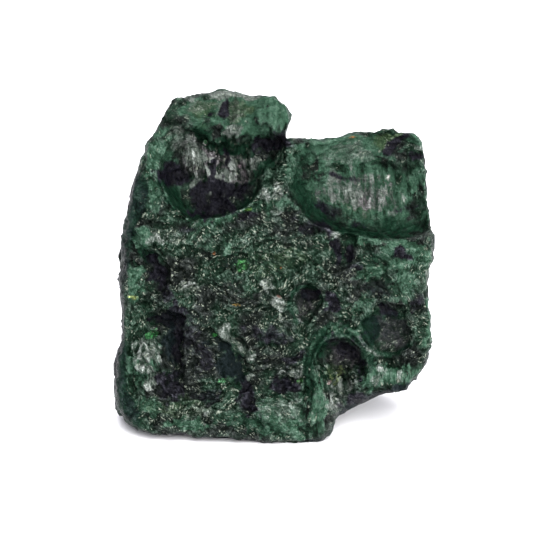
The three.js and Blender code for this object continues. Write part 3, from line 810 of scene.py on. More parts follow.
@dataclass
class MineralPattern:
    """Where the minerals show, and the bright flecks.

    Attributes:
        left_border: Left of this line the face turns into its left side, painted dark as shade.
        foot_border: Below this one it turns into the underside, painted dark as shade too.
        patches: The minerals' patches on the face, and halos their bands along the hollows' rims.
        flecks: Chips of other colours on the face.
        clouds: The minerals' clouds on the sides and the back.
        ragged: The width and height of the teeth in the patches' borders, and finer how much finer their
            second layer is.
        stirs: What bends the patches: each the width, the height, and the seeds along u and v.
        border_wave: The width and height of the waves in the two borders, and border_runs how soft the
            left one and the lower one are.
        top_from: How far up the face the painted highlight on the top begins, and top_run over what way.
    """

    left_border: tuple[Point, ...] = (
        (-20.7, 3.9), (-23.8, 9.1), (-23.9, 24.9), (-23.4, 32.0), (-21.9, 35.6), (-20.3, 38.0), (-20.1, 41.3),
        (-20.9, 43.7), (-23.5, 46.0), (-24.0, 60.0),
    )
    foot_border: tuple[Point, ...] = (
        (-24.0, 3.2), (-20.0, 2.2), (-10.0, 1.2), (-4.0, 0.4), (0.0, 0.3), (7.0, 0.8), (9.0, 2.6),
        (11.0, 5.0), (14.0, 7.0), (18.0, 8.6), (22.0, 9.8), (25.0, 12.6),
    )
    patches: tuple[Patch, ...] = (
        # black mica in the great hollows, the pits and the gashes, which also stands for the shade deep in
        # them
        *patches_of(
            Mineral.MICA,
            (-8.9, 41.0, 4.9, 1.9, 1), (-8.9, 38.8, 3.6, 2.1, 1), (-15.9, 44.6, 2.6, 2.1, 1, -20),
            (-10.1, 44.6, 0.7, 1.5, 0.8), (-7.4, 46.9, 0.5, 1.6, 0.6, 10), (0.2, 49.0, 2.9, 1.6, 1, -5),
            (-7.6, 54.2, 0.8, 2.3, 1, -6), (-9.7, 53.5, 0.8, 1.1, 0.9), (20.2, 48.8, 2.6, 1.0, 1, 46),
            (23.3, 46.8, 1.5, 0.6, 0.9), (22.8, 38.7, 2.1, 0.6, 0.8, 5), (9.4, 38.6, 2.9, 0.9, 0.6, -38),
            (14.9, 35.6, 2.9, 0.6, 0.4, -14), (11.8, 43.6, 3.6, 0.5, 0.6, -4), (12.6, 31.1, 1.0, 1.5, 1),
            (9.9, 31.8, 0.8, 2.4, 0.7, 4), (21.1, 30.6, 1.6, 1.3, 0.9), (-19.0, 28.2, 1.3, 2.9, 0.9, 15),
            (-17.2, 24.4, 1.6, 2.3, 0.6), (-17.9, 19.9, 3.1, 1.2, 0.8, -6), (-15.5, 20.6, 1.5, 1.7, 1),
            (-15.2, 16.5, 1.2, 4.6, 1, 2), (-16.5, 9.6, 2.1, 2.9, 0.7, 10), (-3.9, 8.0, 1.7, 3.6, 0.9, 22),
            (-10.9, 7.9, 3.2, 1.8, 0.6, -10), (-10.9, 13.8, 2.3, 2.3, 0.6), (6.3, 24.8, 1.8, 1.3, 1),
            (19.6, 22.0, 2.6, 0.9, 0.8, -8), (11.7, 15.9, 3.1, 2.4, 0.7), (13.9, 6.8, 3.9, 1.5, 1, 8),
            (14.3, 12.4, 0.7, 2.6, 0.6, 8), (9.9, 23.0, 1.1, 1.1, 0.9), (-0.6, 18.1, 4.2, 1.3, 0.6, -8),
            (2.4, 14.1, 3.6, 0.8, 0.7, 8), (1.9, 10.0, 2.8, 1.5, 0.8), (-4.0, 37.1, 2.3, 0.8, 0.7, 5),
            (-10.9, 36.9, 3.2, 0.6, 0.8, -22), (4.5, 35.6, 2.3, 1.3, 0.6, -30),
            (8.1, 35.5, 1.9, 1.5, 0.6, -30), (13.4, 29.6, 1.3, 0.8, 0.6), (-6.8, 29.6, 2.3, 1.6, 0.4),
            (-13.0, 34.5, 2.6, 0.8, 0.5, -10), (17.5, 25.1, 2.9, 1.6, 0.45), (-13.3, 18.6, 1.9, 3.2, 0.5),
            (23.2, 23.5, 1.0, 2.3, 0.6),
        ),
        # smooth dark sheets, the largest in the lower middle
        *patches_of(
            Mineral.SLAB,
            (-16.6, 20.0, 2.6, 1.3, 0.3), (-16.4, 16.7, 1.2, 4.2, 0.7), (5.2, 22.6, 2.3, 2.6, 0.3),
            (19.0, 18.9, 3.9, 3.7, 0.5), (-6.9, 13.3, 2.3, 4.4, 1, 26), (15.9, 18.8, 1.6, 3.2, 0.6, 10),
        ),
        # dark glassy walls, partly painted shade: under the ledge below the top band, along the right great
        # hollow's lower left, and along the foot
        *patches_of(
            Mineral.DEEP,
            (7.0, 39.3, 4.9, 1.2, 0.8, -44), (-16.1, 40.4, 1.3, 3.2, 0.9, 28),
            (-7.2, 48.0, 3.9, 1.3, 0.9, -22), (-4.2, 47.9, 1.6, 1.2, 0.6),
            (-11.0, 50.2, 2.3, 1.0, 0.8, -20), (-1.6, 44.6, 1.0, 3.2, 0.7, -35),
            (16.7, 34.5, 5.5, 1.1, 0.8, -4), (5.2, 41.3, 1.1, 4.2, 0.7, 22), (15.9, 18.5, 1.4, 3.2, 1, 10),
            (7.1, 15.1, 1.3, 3.2, 0.8, -20), (-20.1, 30.6, 1.3, 2.6, 0.7, 10), (16.8, 30.3, 4.2, 1.3, 0.5),
            (19.9, 36.1, 4.2, 1.1, 0.6), (-3.6, 3.2, 5.5, 1.6, 0.5), (6.4, 12.4, 0.9, 2.9, 0.7, -8),
            (15.6, 12.8, 0.6, 1.9, 0.8, -8),
        ),
        # clear green beryl on the top band, the lobes and the rims
        *patches_of(
            Mineral.RICH,
            (-5.8, 54.2, 10.8, 3.9, 1, -2), (1.8, 53.9, 1.9, 2.9, 0.9), (-11.7, 53.0, 2.6, 2.3, 0.8, 20),
            (-15.9, 41.0, 1.5, 3.6, 0.5, 28), (-19.2, 39.7, 1.8, 3.2, 0.7), (-20.5, 33.5, 2.2, 2.2, 1, 35),
            (-7.1, 31.3, 1.1, 1.3, 1), (7.2, 6.2, 1.5, 5.4, 1), (10.4, 18.0, 3.6, 1.3, 0.7),
            (2.1, 5.3, 4.9, 3.1, 1), (18.8, 11.2, 4.9, 2.4, 1, 2), (18.8, 33.2, 6.8, 0.8, 0.8, -3),
            (4.0, 43.3, 1.6, 3.9, 0.6, 15), (22.7, 32.2, 2.9, 1.6, 0.8), (25.4, 20.6, 0.8, 5.2, 0.9),
            (12.0, 48.0, 9.4, 2.9, 1, -2), (23.5, 49.7, 1.8, 1.8, 0.9), (0.5, 39.2, 4.2, 2.4, 0.6),
            (-13.3, 3.2, 4.5, 1.1, 0.8, -3), (-22.0, 26.4, 1.5, 3.6, 0.7),
            (16.0, 40.8, 10.4, 5.8, 0.85, -4), (-2.0, 56.0, 5.0, 1.6, 1, -4), (-11.7, 33.2, 3.2, 1.6, 0.4),
            (-4.5, 25.9, 3.2, 3.2, 0.3), (16.2, 28.4, 3.6, 1.6, 0.6), (21.6, 31.0, 4.4, 3.6, 0.75),
            (21.5, 25.8, 3.9, 2.9, 0.6), (15.2, 22.4, 3.2, 1.9, 0.5), (-18.5, 47.5, 3.2, 4.9, 0.8, 12),
            (2.1, 5.0, 5.8, 3.4, 1), (-19.8, 6.5, 2.3, 1.9, 0.6), (-6.5, 4.0, 3.2, 1.5, 0.5),
            (-20.8, 13.0, 2.8, 3.8, 0.8),
        ),
        # yellowish green beryl
        *patches_of(
            Mineral.OLIVE,
            (14.5, 38.5, 2.9, 1.2, 0.4, -3), (-11.0, 54.0, 2.6, 2.4, 0.5), (-5.2, 54.4, 4.2, 1.9, 0.55),
            (19.6, 49.8, 2.6, 1.6, 0.6), (10.6, 11.2, 1.6, 1.9, 0.35), (-14.5, 6.5, 5.5, 2.9, 0.35),
            (1.6, 30.0, 4.9, 3.6, 0.3),
        ),
        # grey splinters
        *patches_of(
            Mineral.ASH,
            (-12.6, 46.8, 2.8, 4.0, 1, 30), (-7.1, 44.6, 5.0, 2.5, 1), (18.9, 18.4, 3.9, 3.4, 0.6),
            (5.4, 21.9, 2.0, 2.0, 0.5), (14.5, 41.2, 6.5, 3.2, 0.5, -4), (11.7, 15.6, 3.0, 2.4, 0.9),
        ),
        # crushed, whitish beryl: blades, knobs and smears, and a painted highlight along the top edge
        *patches_of(
            Mineral.PALE,
            (-21.3, 13.9, 0.5, 2.6, 1, 27), (-19.7, 13.6, 0.6, 2.8, 1, 27), (-5.4, 16.1, 0.6, 4.2, 1, 46),
            (-12.3, 47.2, 1.3, 3.6, 1, 32), (-13.9, 46.5, 0.6, 3.0, 0.7, 20),
            (-9.9, 43.4, 0.9, 1.6, 0.8, 20), (-8.2, 43.7, 1.3, 1.4, 1), (-13.0, 42.8, 0.8, 1.1, 0.8),
            (-6.3, 45.0, 0.8, 2.0, 0.9), (-3.4, 46.0, 1.3, 2.0, 1, -10), (-2.3, 43.0, 1.4, 0.7, 0.8, 15),
            (-15.3, 48.9, 1.8, 2.2, 0.55, 10), (-6.6, 54.4, 4.2, 2.2, 0.35), (-6.2, 50.9, 1.3, 1.3, 0.8),
            # the long band at (-6.0, 57.3) is a painted highlight on the top edge, which faces the light
            (-6.0, 57.3, 8.6, 1.1, 1, 2), (-1.5, 40.5, 1.6, 1.3, 0.8, 12), (0.8, 40.8, 1.1, 1.0, 0.9),
            (1.0, 38.1, 1.5, 1.0, 0.5), (12.6, 40.7, 3.2, 2.3, 0.5), (19.4, 40.0, 2.9, 2.1, 0.3),
            (16.2, 42.9, 2.3, 1.6, 0.35), (4.0, 45.2, 1.1, 1.9, 0.3), (12.0, 47.6, 6.5, 1.8, 0.35, -2),
            (23.4, 48.2, 1.5, 0.8, 0.5), (9.4, 43.3, 1.0, 2.3, 0.4, -20), (-0.6, 25.8, 1.1, 1.0, 1),
            (1.0, 22.5, 1.1, 1.8, 0.7), (-20.6, 14.4, 1.9, 2.6, 0.6, 20), (-19.6, 10.2, 1.7, 1.7, 0.6, 20),
            (-18.6, 14.6, 0.5, 2.2, 0.9, 27), (-7.1, 18.1, 1.9, 0.7, 1, -40),
            (-7.5, 13.4, 1.3, 0.8, 0.6, -30), (-3.2, 10.5, 0.5, 1.5, 0.9, -30), (12.0, 9.6, 1.9, 1.8, 1),
            (9.4, 6.5, 1.3, 1.6, 0.7), (17.4, 11.8, 0.8, 2.0, 0.4), (20.6, 11.6, 0.8, 2.1, 0.4),
            (16.2, 15.6, 1.9, 0.6, 0.9, -38), (-18.2, 33.2, 1.9, 1.4, 0.5, 30),
            (-15.6, 33.7, 2.9, 1.6, 0.3), (9.4, 34.7, 1.3, 1.0, 0.6), (25.3, 27.5, 0.8, 2.3, 0.9),
            (-13.3, 25.1, 1.3, 1.9, 0.5), (7.0, 29.6, 4.2, 3.2, 0.12), (-1.9, 33.2, 4.9, 2.3, 0.15),
            (3.9, 11.8, 4.9, 0.8, 0.5, 6), (-11.7, 35.6, 1.3, 0.6, 0.6), (23.7, 25.8, 1.0, 1.9, 0.4),
            (11.0, 25.1, 3.9, 2.6, 0.15), (4.5, 28.4, 3.2, 2.3, 0.12), (-11.0, 5.3, 4.9, 1.3, 0.35),
            (2.3, 6.0, 4.2, 2.3, 0.4), (-12.0, 54.6, 2.6, 1.9, 0.35),
        ),
    )
    halos: tuple[Halo, ...] = (
        Halo((-9.7, 44.4), (8.0, 7.8), 0, Mineral.RICH, 0.7, 0.14, -150),
        # painted shadow: the dark band where the right great hollow's wall shades its lower left rim
        Halo((16.2, 42.3), (12.4, 8.0), -6, Mineral.DEEP, 0.7, 0.1, -125),
        Halo((16.2, 42.3), (11.2, 7.0), -6, Mineral.RICH, 0.7, 0.1, -80),
        Halo((19.1, 18.9), (4.2, 4.2), 0, Mineral.DEEP, 0.7, 0.17, -125),
        Halo((10.9, 11.8), (4.5, 6.4), 0, Mineral.DEEP, 0.7, 0.1, 110),
        Halo((10.9, 11.8), (5.9, 7.9), 0, Mineral.DEEP, 0.6, 0.07, 130),
        Halo((10.9, 11.8), (5.2, 7.2), 0, Mineral.RICH, 0.8, 0.12, 110),
        Halo((5.5, 22.5), (2.6, 3.2), 0, Mineral.DEEP, 0.7, 0.15, 150),
    )
    flecks: tuple[Fleck, ...] = (
        Fleck((-4.7, 29.2), (1.2, 1.1), 0, "#366e3a"),
        Fleck((-19.3, 17.8), (1.2, 0.7), 25, "#2a6634"),
        Fleck((10.9, 11.3), (0.4, 1.5), -15, "#8a9c66"),
        Fleck((9.3, 11.2), (0.35, 0.9), 20, "#8a9c66"),
        Fleck((10.3, 10.0), (0.6, 0.3), 30, "#7d8f58"),
        Fleck((-3.8, 38.1), (0.6, 0.3), 10, "#6a9840"),
        Fleck((-22.6, 23.9), (0.7, 0.3), -10, "#b4c477"),
        Fleck((-9.3, 17.8), (0.3, 0.3), 0, "#4fc05a"),
        Fleck((4.5, 10.4), (0.5, 0.4), 0, "#285221"),
        Fleck((13.0, 49.9), (0.5, 0.35), -10, "#e08a3c"),
        Fleck((-8.1, 10.4), (0.7, 0.3), 10, "#5f9a6a"),
        # painted glint: a near-white spot where a crystal face catches the light
        Fleck((25.1, 31.7), (0.35, 0.35), 0, "#f2efd8"),
        Fleck((19.0, 43.4), (0.35, 0.35), 0, "#d8d6d0"),
        Fleck((9.1, 10.0), (0.4, 0.3), 0, "#c0a6a4"),
        Fleck((-5.8, 22.7), (0.7, 0.22), -5, "#6e5a2c"),
        Fleck((-9.4, 30.9), (0.22, 0.2), 0, "#b0642c"),
        Fleck((1.5, 28.8), (0.22, 0.2), 0, "#b0642c"),
        Fleck((1.1, 24.0), (0.3, 0.3), 0, "#b08a7c"),
        Fleck((-10.0, 40.9), (0.3, 0.3), 0, "#b8c4b8"),
        Fleck((-5.4, 45.2), (0.35, 0.35), 0, "#c9b4bd"),
        Fleck((-10.9, 49.0), (0.3, 0.3), 0, "#d6c6cc"),
    )
    # painted highlight: towards the top, the sides and the back get more pale and green beryl and less of the
    # dark minerals, where the top faces the light
    clouds: tuple[Clouds, ...] = (
        Clouds(Mineral.MICA, 0.9, 0.42, ((0.9, (6, 4, 6), 81), (0.35, (2, 1.4, 2), 83)), fades=0.9),
        Clouds(Mineral.PALE, 0.4, 0.0, ((1.1, (5, 5, 5), 89),), aloft=0.3),
        Clouds(Mineral.RICH, 0.6, 0.25, ((1.1, (7, 7, 7), 85),), aloft=0.6),
        Clouds(Mineral.DEEP, 0.6, 0.1, ((1.0, (5, 4, 5), 87),), fades=0.8),
        Clouds(Mineral.SLAB, 0.8, 0.1, ((1.2, (8, 6, 8), 97),), fades=1.0),
        Clouds(Mineral.ASH, 0.4, -0.2, ((1.1, (5, 6, 5), 99),)),
        Clouds(Mineral.OLIVE, 0.5, -0.1, ((1.1, (6, 5, 6), 101),)),
    )
    ragged: Point = (1.5, 0.3)
    finer: float = 2.3
    stirs: tuple[tuple[float, ...], ...] = ((3.1, 0.7, 75, 77), (1.2, 0.5, 76, 78))
    border_wave: Point = (3, 0.7)
    border_runs: Point = (0.9, 0.8)
    top_from: float = 46
    top_run: float = 4

    def painted_side_shade(self, u: Floats, v: Floats) -> tuple[Floats, Floats]:
        """How much of the left side's painted shade, and of the underside's, shows at [u, v]."""
        size, height = self.border_wave
        wave = height * ripple(u, v, size, 93)
        left_u, left_v = zip(*self.left_border)
        foot_u, foot_v = zip(*self.foot_border)
        left = smooth((np.interp(v, left_v, left_u) - u + wave) / self.border_runs[0] + 0.5)
        foot = smooth((np.interp(u, foot_u, foot_v) - v + wave) / self.border_runs[1] + 0.5)
        return left, foot

    def on_face(self, u: Floats, v: Floats, mineral: Mineral) -> Floats:
        """How much of one mineral the patches and halos show, from 0 to 1.

        Args:
            u, v: Places on the face.
            mineral: The mineral.

        Returns:
            A value for each place.
        """
        size, height = self.ragged
        fine_u, fine_v = u / size * self.finer, v / size * self.finer
        ragged = height * ripple(u, v, size, 71) + height * ripple(fine_u, fine_v, 1, 73)
        shown = 0.0 * u
        for halo in self.halos:
            if halo.mineral == mineral:
                shown = np.maximum(shown, halo.shown(u, v, ragged))
        stirred_u, stirred_v = u, v
        for size, height, seed_u, seed_v in self.stirs:
            stirred_u = stirred_u + height * ripple(u, v, size, seed_u)
            stirred_v = stirred_v + height * ripple(u, v, size, seed_v)
        for patch in self.patches:
            if patch.mineral == mineral:
                shown = np.maximum(shown, patch.shown(stirred_u, stirred_v, ragged))
        return shown

    def minerals(self, u: Floats, v: Floats, w: Floats, walls: Floats, face: Floats) -> dict[str, Floats]:
        """Where each mineral shows.

        Args:
            u, v, w: Places on the stone.
            walls: How much each lies on an upright wall.
            face: How much each belongs to the face.

        Returns:
            Values from 0 to 1 for each mineral, by the name of its attribute.
        """
        on_face = {mineral: self.on_face(u, v, mineral) for mineral in Mineral}
        for mineral in set(Mineral) - {Mineral.DEEP, Mineral.MICA}:
            on_face[mineral] = on_face[mineral] * (1 - 0.7 * walls)
        # painted shade: dark sheets and dark glassy beryl laid on the left side and the underside; the
        # upright walls get dark glassy beryl, which also stands for the shade on them
        left, foot = self.painted_side_shade(u, v)
        on_face[Mineral.SLAB] = np.maximum(on_face[Mineral.SLAB], np.maximum(0.45 * left, 0.9 * foot))
        on_face[Mineral.DEEP] = np.maximum(on_face[Mineral.DEEP], np.maximum(0.5 * walls, 0.8 * left))
        # painted highlight: the top of the sides and the back is made paler, where it faces the light
        aloft = smooth((v - self.top_from) / self.top_run)
        return {
            clouds.mineral.value: face * on_face[clouds.mineral]
            + (1 - face) * clouds.shown(u, v, w, aloft) * clouds.share
            for clouds in self.clouds
        }

    def fleck_colours(self, u: Floats, v: Floats, face: Floats) -> Floats:
        """The colour of the flecks.

        Args:
            u, v: Places on the face.
            face: How much each belongs to the face.

        Returns:
            Red, green, blue and alpha in each row. The alpha is 0 where there is no fleck.
        """
        colour = np.zeros((len(u), 4))
        for fleck in self.flecks:
            inside = fleck.far(u, v) + 0.45 * swell(u * 2.6, v * 2.6, 0 * u, 91) < 1.0
            colour[inside & (face > 0.5)] = linear(fleck.colour)
        return colour


# Materials


def linear(colour: str) -> tuple[float, float, float, float]:
    """Turns an sRGB hex colour to linear values.

    Args:
        colour: Such as "#2f4f3b".

    Returns:
        Red, green, blue and an alpha of 1.
    """
    parts = [int(colour[i : i + 2], 16) / 255 for i in (1, 3, 5)]
    r, g, b = (c / 12.92 if c <= 0.04045 else ((c + 0.055) / 1.055) ** 2.4 for c in parts)
    return r, g, b, 1.0


def add_node(
    tree: bpy.types.NodeTree, kind: str, *first: object, out: str | int = 0, **named: object
) -> bpy.types.NodeSocket:
    """Adds one node to a material.

    Args:
        tree: The material's nodes.
        kind: The node's type, without "ShaderNode".
        first: Its first inputs, in their order: each a value, or the output that it comes from.
        out: The output that is wanted, by name or number.
        named: Its settings, by name, and further inputs, by their identifier, which has a capital.

    Returns:
        That output.
    """
    node = tree.nodes.new("ShaderNode" + kind)
    for name, value in named.items():
        if name[0].islower():
            setattr(node, name, value)
    sockets = {socket.identifier: socket for socket in node.inputs}
    further = {name: value for name, value in named.items() if name[0].isupper()}
    for name, value in (dict(zip(sockets, first)) | further).items():
        if isinstance(value, bpy.types.NodeSocket):
            tree.links.new(value, sockets[name])
        else:
            sockets[name].default_value = value
    return node.outputs[out]


@dataclass(frozen=True)
class Zone:
    """How one mineral looks where it shows.

    Attributes:
        colour: Its colour, in sRGB hex.
        contrast: How much its crystals differ in brightness.
        glint: The share of whitish crystals, partly painted glints.
        loose: How far the crystals' faces turn away from the skin.
    """

    colour: str
    contrast: float
    glint: float
    loose: float


@dataclass(frozen=True)
class Crystals:
    """One size of crystal in the crush.

    Attributes:
        size: Their width, depth and length, in millimetres.
        lean: How far their length leans from upright, in degrees, towards the right.
        light: How much they differ in brightness.
        tilt: How far their faces turn away from the skin.
    """

    size: Point3
    lean: float
    light: float
    tilt: float


@dataclass(frozen=True)
class BrokenBeryl:
    """Green beryl with mica, as it breaks: a sugary crush of small crystals that glint one by one.

    Attributes:
        ground: The common, dark grey-green crush.
        zones: What shows where a mineral is marked, each laid over the one before.
        crush: The sizes of crystal. Real ones go finer: the smallest are as coarse as they need to show.
        strands: How the whitish crystals lie: two ways in the crush, and upright among the splinters.
        splinters: The upright splinters of the hollows.
        fibres: The fine upright grain on them, as a width, a depth and a length.
        hatch: The fine strokes that cross the crush, as the same three.
        cracks: The widths of the blocks between dark cracks, in millimetres, and the cracks' half widths.
        mottle: The width of a cloud of paler or darker beryl, in millimetres.
        tint: The width of a stretch of greener beryl.
        sugar_and_glint: The whitish crystals' colour, which is also the colour of the painted glints.
        jade: The greener beryl's colour.
        darkest: The least that the shade can be, as a power of e.
    """

    name: str = "rough beryl with biotite mica, broken surface"
    ground: Zone = Zone("#0e1210", 1.06, 0.8, 1.0)
    zones: tuple[tuple[Mineral, Zone], ...] = (
        (Mineral.RICH, Zone("#21372a", 0.6, 0.35, 0.45)),
        (Mineral.OLIVE, Zone("#293723", 0.7, 0.6, 0.6)),
        (Mineral.ASH, Zone("#333132", 1.0, 0.9, 0.7)),
        (Mineral.PALE, Zone("#404641", 0.8, 1.0, 1.0)),
        (Mineral.DEEP, Zone("#0a1d13", 0.7, 0.2, 0.4)),
        (Mineral.MICA, Zone("#0c0c11", 1.1, 0.2, 0.9)),
        (Mineral.SLAB, Zone("#0b1112", 0.75, 0.1, 0.4)),
    )
    crush: tuple[Crystals, ...] = (
        Crystals((1.3, 1.3, 1.9), -45, 0.35, 0.3),
        Crystals((0.5, 0.5, 1.3), -50, 0.55, 0.5),
        Crystals((0.2, 0.2, 0.4), -35, 1.7, 0.9),
    )
    strands: tuple[Crystals, ...] = (
        Crystals((0.14, 0.2, 0.62), -50, 1.0, 0.0),
        Crystals((0.14, 0.2, 0.56), 35, 1.0, 0.0),
        Crystals((0.26, 0.4, 1.1), -4, 1.0, 0.0),
    )
    splinters: Crystals = Crystals((0.7, 0.9, 4.4), -6, 2.0, 0.0)
    fibres: Point3 = (0.6, 1.1, 3.4)
    hatch: Point3 = (0.17, 0.4, 1.1)
    cracks: tuple[Point, ...] = ((2.4, 0.12), (0.95, 0.08))
    mottle: float = 1.9
    tint: float = 5.0
    sugar_and_glint: str = "#7a8174"
    jade: str = "#0e1f15"
    darkest: float = -1.35

    def make(self) -> bpy.types.Material:
        """Builds the material.

        Returns:
            The material. It gives the eye a dark green whose hue changes slowly, black flakes and cracks,
            whitish crushed places and small sharp glints, some of them painted into the colour, with a
            painted highlight on edges and painted shade in dips.
        """
        material = bpy.data.materials.new(self.name)
        material.use_nodes = True
        tree = material.node_tree
        tree.nodes.clear()
        add = partial(add_node, tree)

        # places in millimetres, so a noise's scale is how many of its swells go into one: a little stirred,
        # so that no crystal has a round or regular border, and bent, so that their lengths don't all run
        # one way
        place = add("Mapping", add("TexCoord", out="Object"), Scale=(1 / MM,) * 3)
        wander = add("TexNoise", place, Scale=1.1, Detail=3.0, Roughness=0.6, out="Color")
        bend = add("TexNoise", place, Scale=0.16, Detail=1.0, out="Color")
        wander, bend = [add("VectorMath", t, (0.5,) * 3, operation="SUBTRACT") for t in (wander, bend)]
        stirred = add("VectorMath", wander, (1.3,) * 3, place, operation="MULTIPLY_ADD")
        nearly = add("VectorMath", wander, (0.2,) * 3, place, operation="MULTIPLY_ADD")
        bent = add("VectorMath", bend, (5.0,) * 3, nearly, operation="MULTIPLY_ADD")

        # marks on the mesh
        edge, upright, soft = [
            add("Attribute", out="Fac", attribute_name=name) for name in ("edge", "upright", "soft")
        ]

        # crystals, each with a random colour that sets its brightness and its face
        cells = {}
        for where, crystals in [(bent, c) for c in self.crush + self.strands] + [(nearly, self.splinters)]:
            turned = (0, math.radians(crystals.lean), 0)
            laid = add("Mapping", where, Rotation=turned, Scale=crystals.size, vector_type="TEXTURE")
            cells[crystals] = add("TexVoronoi", laid, Scale=1.0, out="Color")

        # clouds, grain, upright fibres and splinters
        clouds = add("TexNoise", place, Scale=1 / self.mottle, Detail=6.0, Roughness=0.62)
        fine = add("TexNoise", stirred, Scale=2.2, Detail=4.0, Roughness=0.75)
        laid = add("Mapping", nearly, Rotation=(-LEAN, 0, 0), Scale=self.fibres, vector_type="TEXTURE")
        streak = add("TexNoise", laid, Scale=1.0, Detail=4.0, Roughness=0.65)
        tall = add("SeparateColor", cells[self.splinters])
        streak, tall = [
            add("Math", add("Math", layer, 0.5, operation="SUBTRACT"), upright, operation="MULTIPLY")
            for layer in (streak, tall)
        ]

        # where each mineral shows: its mark, with a border that the clouds and crystals break up
        broken = clouds
        for layer, weight in ((fine, 1.1), (streak, 2.6), (tall, 1.0)):
            broken = add("Math", layer, weight, broken, operation="MULTIPLY_ADD")
        shown = {}
        for mineral, _ in self.zones:
            mark = add("Attribute", out="Fac", attribute_name=mineral.value)
            reach = add("Math", broken, 0.9, -0.95, operation="MULTIPLY_ADD")
            reach = add("Math", mark, reach, operation="ADD")
            amount = add("MapRange", reach, 0.1, 0.75, interpolation_type="SMOOTHSTEP")
            mark = add("MapRange", mark, 0.0, 0.2)
            shown[mineral] = add("Math", amount, mark, operation="MULTIPLY")

        # light and dark: clouds, grain, each crystal by itself, painted highlight on edges and painted
        # shade in dips, and dark cracks
        shade = add("Math", clouds, 0.9, -1.53, operation="MULTIPLY_ADD")
        shade = add("Math", fine, 2.2, shade, operation="MULTIPLY_ADD")
        tilt = (0.0, 0.0, 0.0)
        for crystals in self.crush:
            one = add("SeparateColor", cells[crystals])
            one = add("Math", one, 0.5, operation="SUBTRACT")
            shade = add("Math", one, crystals.light, shade, operation="MULTIPLY_ADD")
            way = add("VectorMath", cells[crystals], (0.5,) * 3, operation="SUBTRACT")
            tilt = add("VectorMath", way, (crystals.tilt,) * 3, tilt, operation="MULTIPLY_ADD")
        angle = add("SeparateColor", cells[self.crush[0]], out="Green")
        angle = add("Math", angle, 2.6, -0.5, operation="MULTIPLY_ADD")
        strokes = add("VectorRotate", nearly, Angle=angle, rotation_type="Y_AXIS")
        strokes = add("Mapping", strokes, Scale=self.hatch, vector_type="TEXTURE")
        hatch = add("TexNoise", strokes, Scale=1.0, Detail=3.0, Roughness=0.7)
        # the edge mark adds a painted highlight on edges and painted shade in dips
        for layer, weight in ((hatch, 4.2), (edge, 1.5)):
            layer = add("Math", layer, 0.5, operation="SUBTRACT")
            shade = add("Math", layer, weight, shade, operation="MULTIPLY_ADD")
        cracked = add("TexNoise", place, Scale=0.5, Detail=3.0)
        cracked = add("MapRange", cracked, 0.44, 0.6)
        for block, gap in self.cracks:
            crack = add("TexVoronoi", stirred, Scale=1 / block, out="Distance", feature="DISTANCE_TO_EDGE")
            crack = add("MapRange", crack, 0.0, gap / block, -1.1, 0.0)
            shade = add("Math", crack, cracked, shade, operation="MULTIPLY_ADD")

        # each mineral's hue, contrast, glints and looseness
        green = add("TexNoise", place, Scale=1 / self.tint, Detail=2.0)
        green = add("MapRange", green, 0.38, 0.6, interpolation_type="SMOOTHSTEP")
        common, jade = linear(self.ground.colour), linear(self.jade)
        hue = add("Mix", green, A_Color=common, B_Color=jade, out=2, data_type="RGBA")
        contrast, glint, loose = self.ground.contrast, self.ground.glint, self.ground.loose
        for mineral, zone in self.zones:
            here = shown[mineral]
            hue = add("Mix", here, A_Color=hue, B_Color=linear(zone.colour), out=2, data_type="RGBA")
            contrast = add("Mix", here, A_Float=contrast, B_Float=zone.contrast)
            glint = add("Mix", here, A_Float=glint, B_Float=zone.glint)
            loose = add("Mix", here, A_Float=loose, B_Float=zone.loose)

        # calmer on splinters and in soft places, greener in the dark, greyer in the light
        for quiet in (upright, soft):
            calm = add("MapRange", quiet, 0.0, 1.0, 1.0, 0.6)
            shade = add("Math", shade, calm, operation="MULTIPLY")
        for layer, weight in ((tall, self.splinters.light), (streak, 6.5)):
            shade = add("Math", layer, weight, shade, operation="MULTIPLY_ADD")
        shade = add("Math", shade, contrast, operation="MULTIPLY")
        deepened = add("MapRange", shade, -0.1, -1.4)
        unlike = add("Math", shown[Mineral.MICA], shown[Mineral.DEEP], operation="MAXIMUM")
        unlike = add("Math", 1.0, unlike, operation="SUBTRACT")
        deepened = add("Math", deepened, unlike, operation="MULTIPLY")
        greener = add("VectorMath", hue, (0.62, 1.08, 0.8), operation="MULTIPLY")
        hue = add("Mix", deepened, A_Color=hue, B_Color=greener, out=2, data_type="RGBA")
        shade = add("Math", shade, self.darkest, operation="MAXIMUM")
        bright = add("Math", shade, operation="EXPONENT")
        faded = add("MapRange", shade, 0.1, 1.3, 0.0, 0.5)
        hue = add("Mix", faded, A_Color=hue, B_Color=add("RGBToBW", hue), out=2, data_type="RGBA")
        colour = add("VectorMath", hue, Scale=bright, operation="SCALE")

        # whitish crystals, crowded in some places and missing in others: partly pale crystals, partly painted
        # glints where crystal faces catch the light
        one_way, other_way, tall_way = [add("SeparateColor", cells[needles]) for needles in self.strands]
        choice = add("TexNoise", place, Scale=0.3, Detail=2.0)
        choice = add("MapRange", choice, 0.47, 0.53)
        needle = add("Mix", choice, A_Float=one_way, B_Float=other_way)
        needle = add("Mix", upright, A_Float=needle, B_Float=tall_way)
        crowd = add("TexNoise", place, Scale=0.8, Detail=4.0, Roughness=0.65)
        crowd = add("MapRange", crowd, 0.4, 0.66, 0.0, 0.36)
        least = add("Math", crowd, glint, operation="MULTIPLY")
        least = add("Math", 1.0, least, operation="SUBTRACT")
        most = add("Math", least, 0.1, operation="ADD")
        white = add("MapRange", needle, least, most)
        frayed = add("MapRange", fine, 0.4, 0.6, 0.15, 1.0)
        for less in (frayed, calm):
            white = add("Math", white, less, operation="MULTIPLY")
        colour = add("Mix", white, A_Color=colour, B_Color=linear(self.sugar_and_glint), out=2, data_type="RGBA")

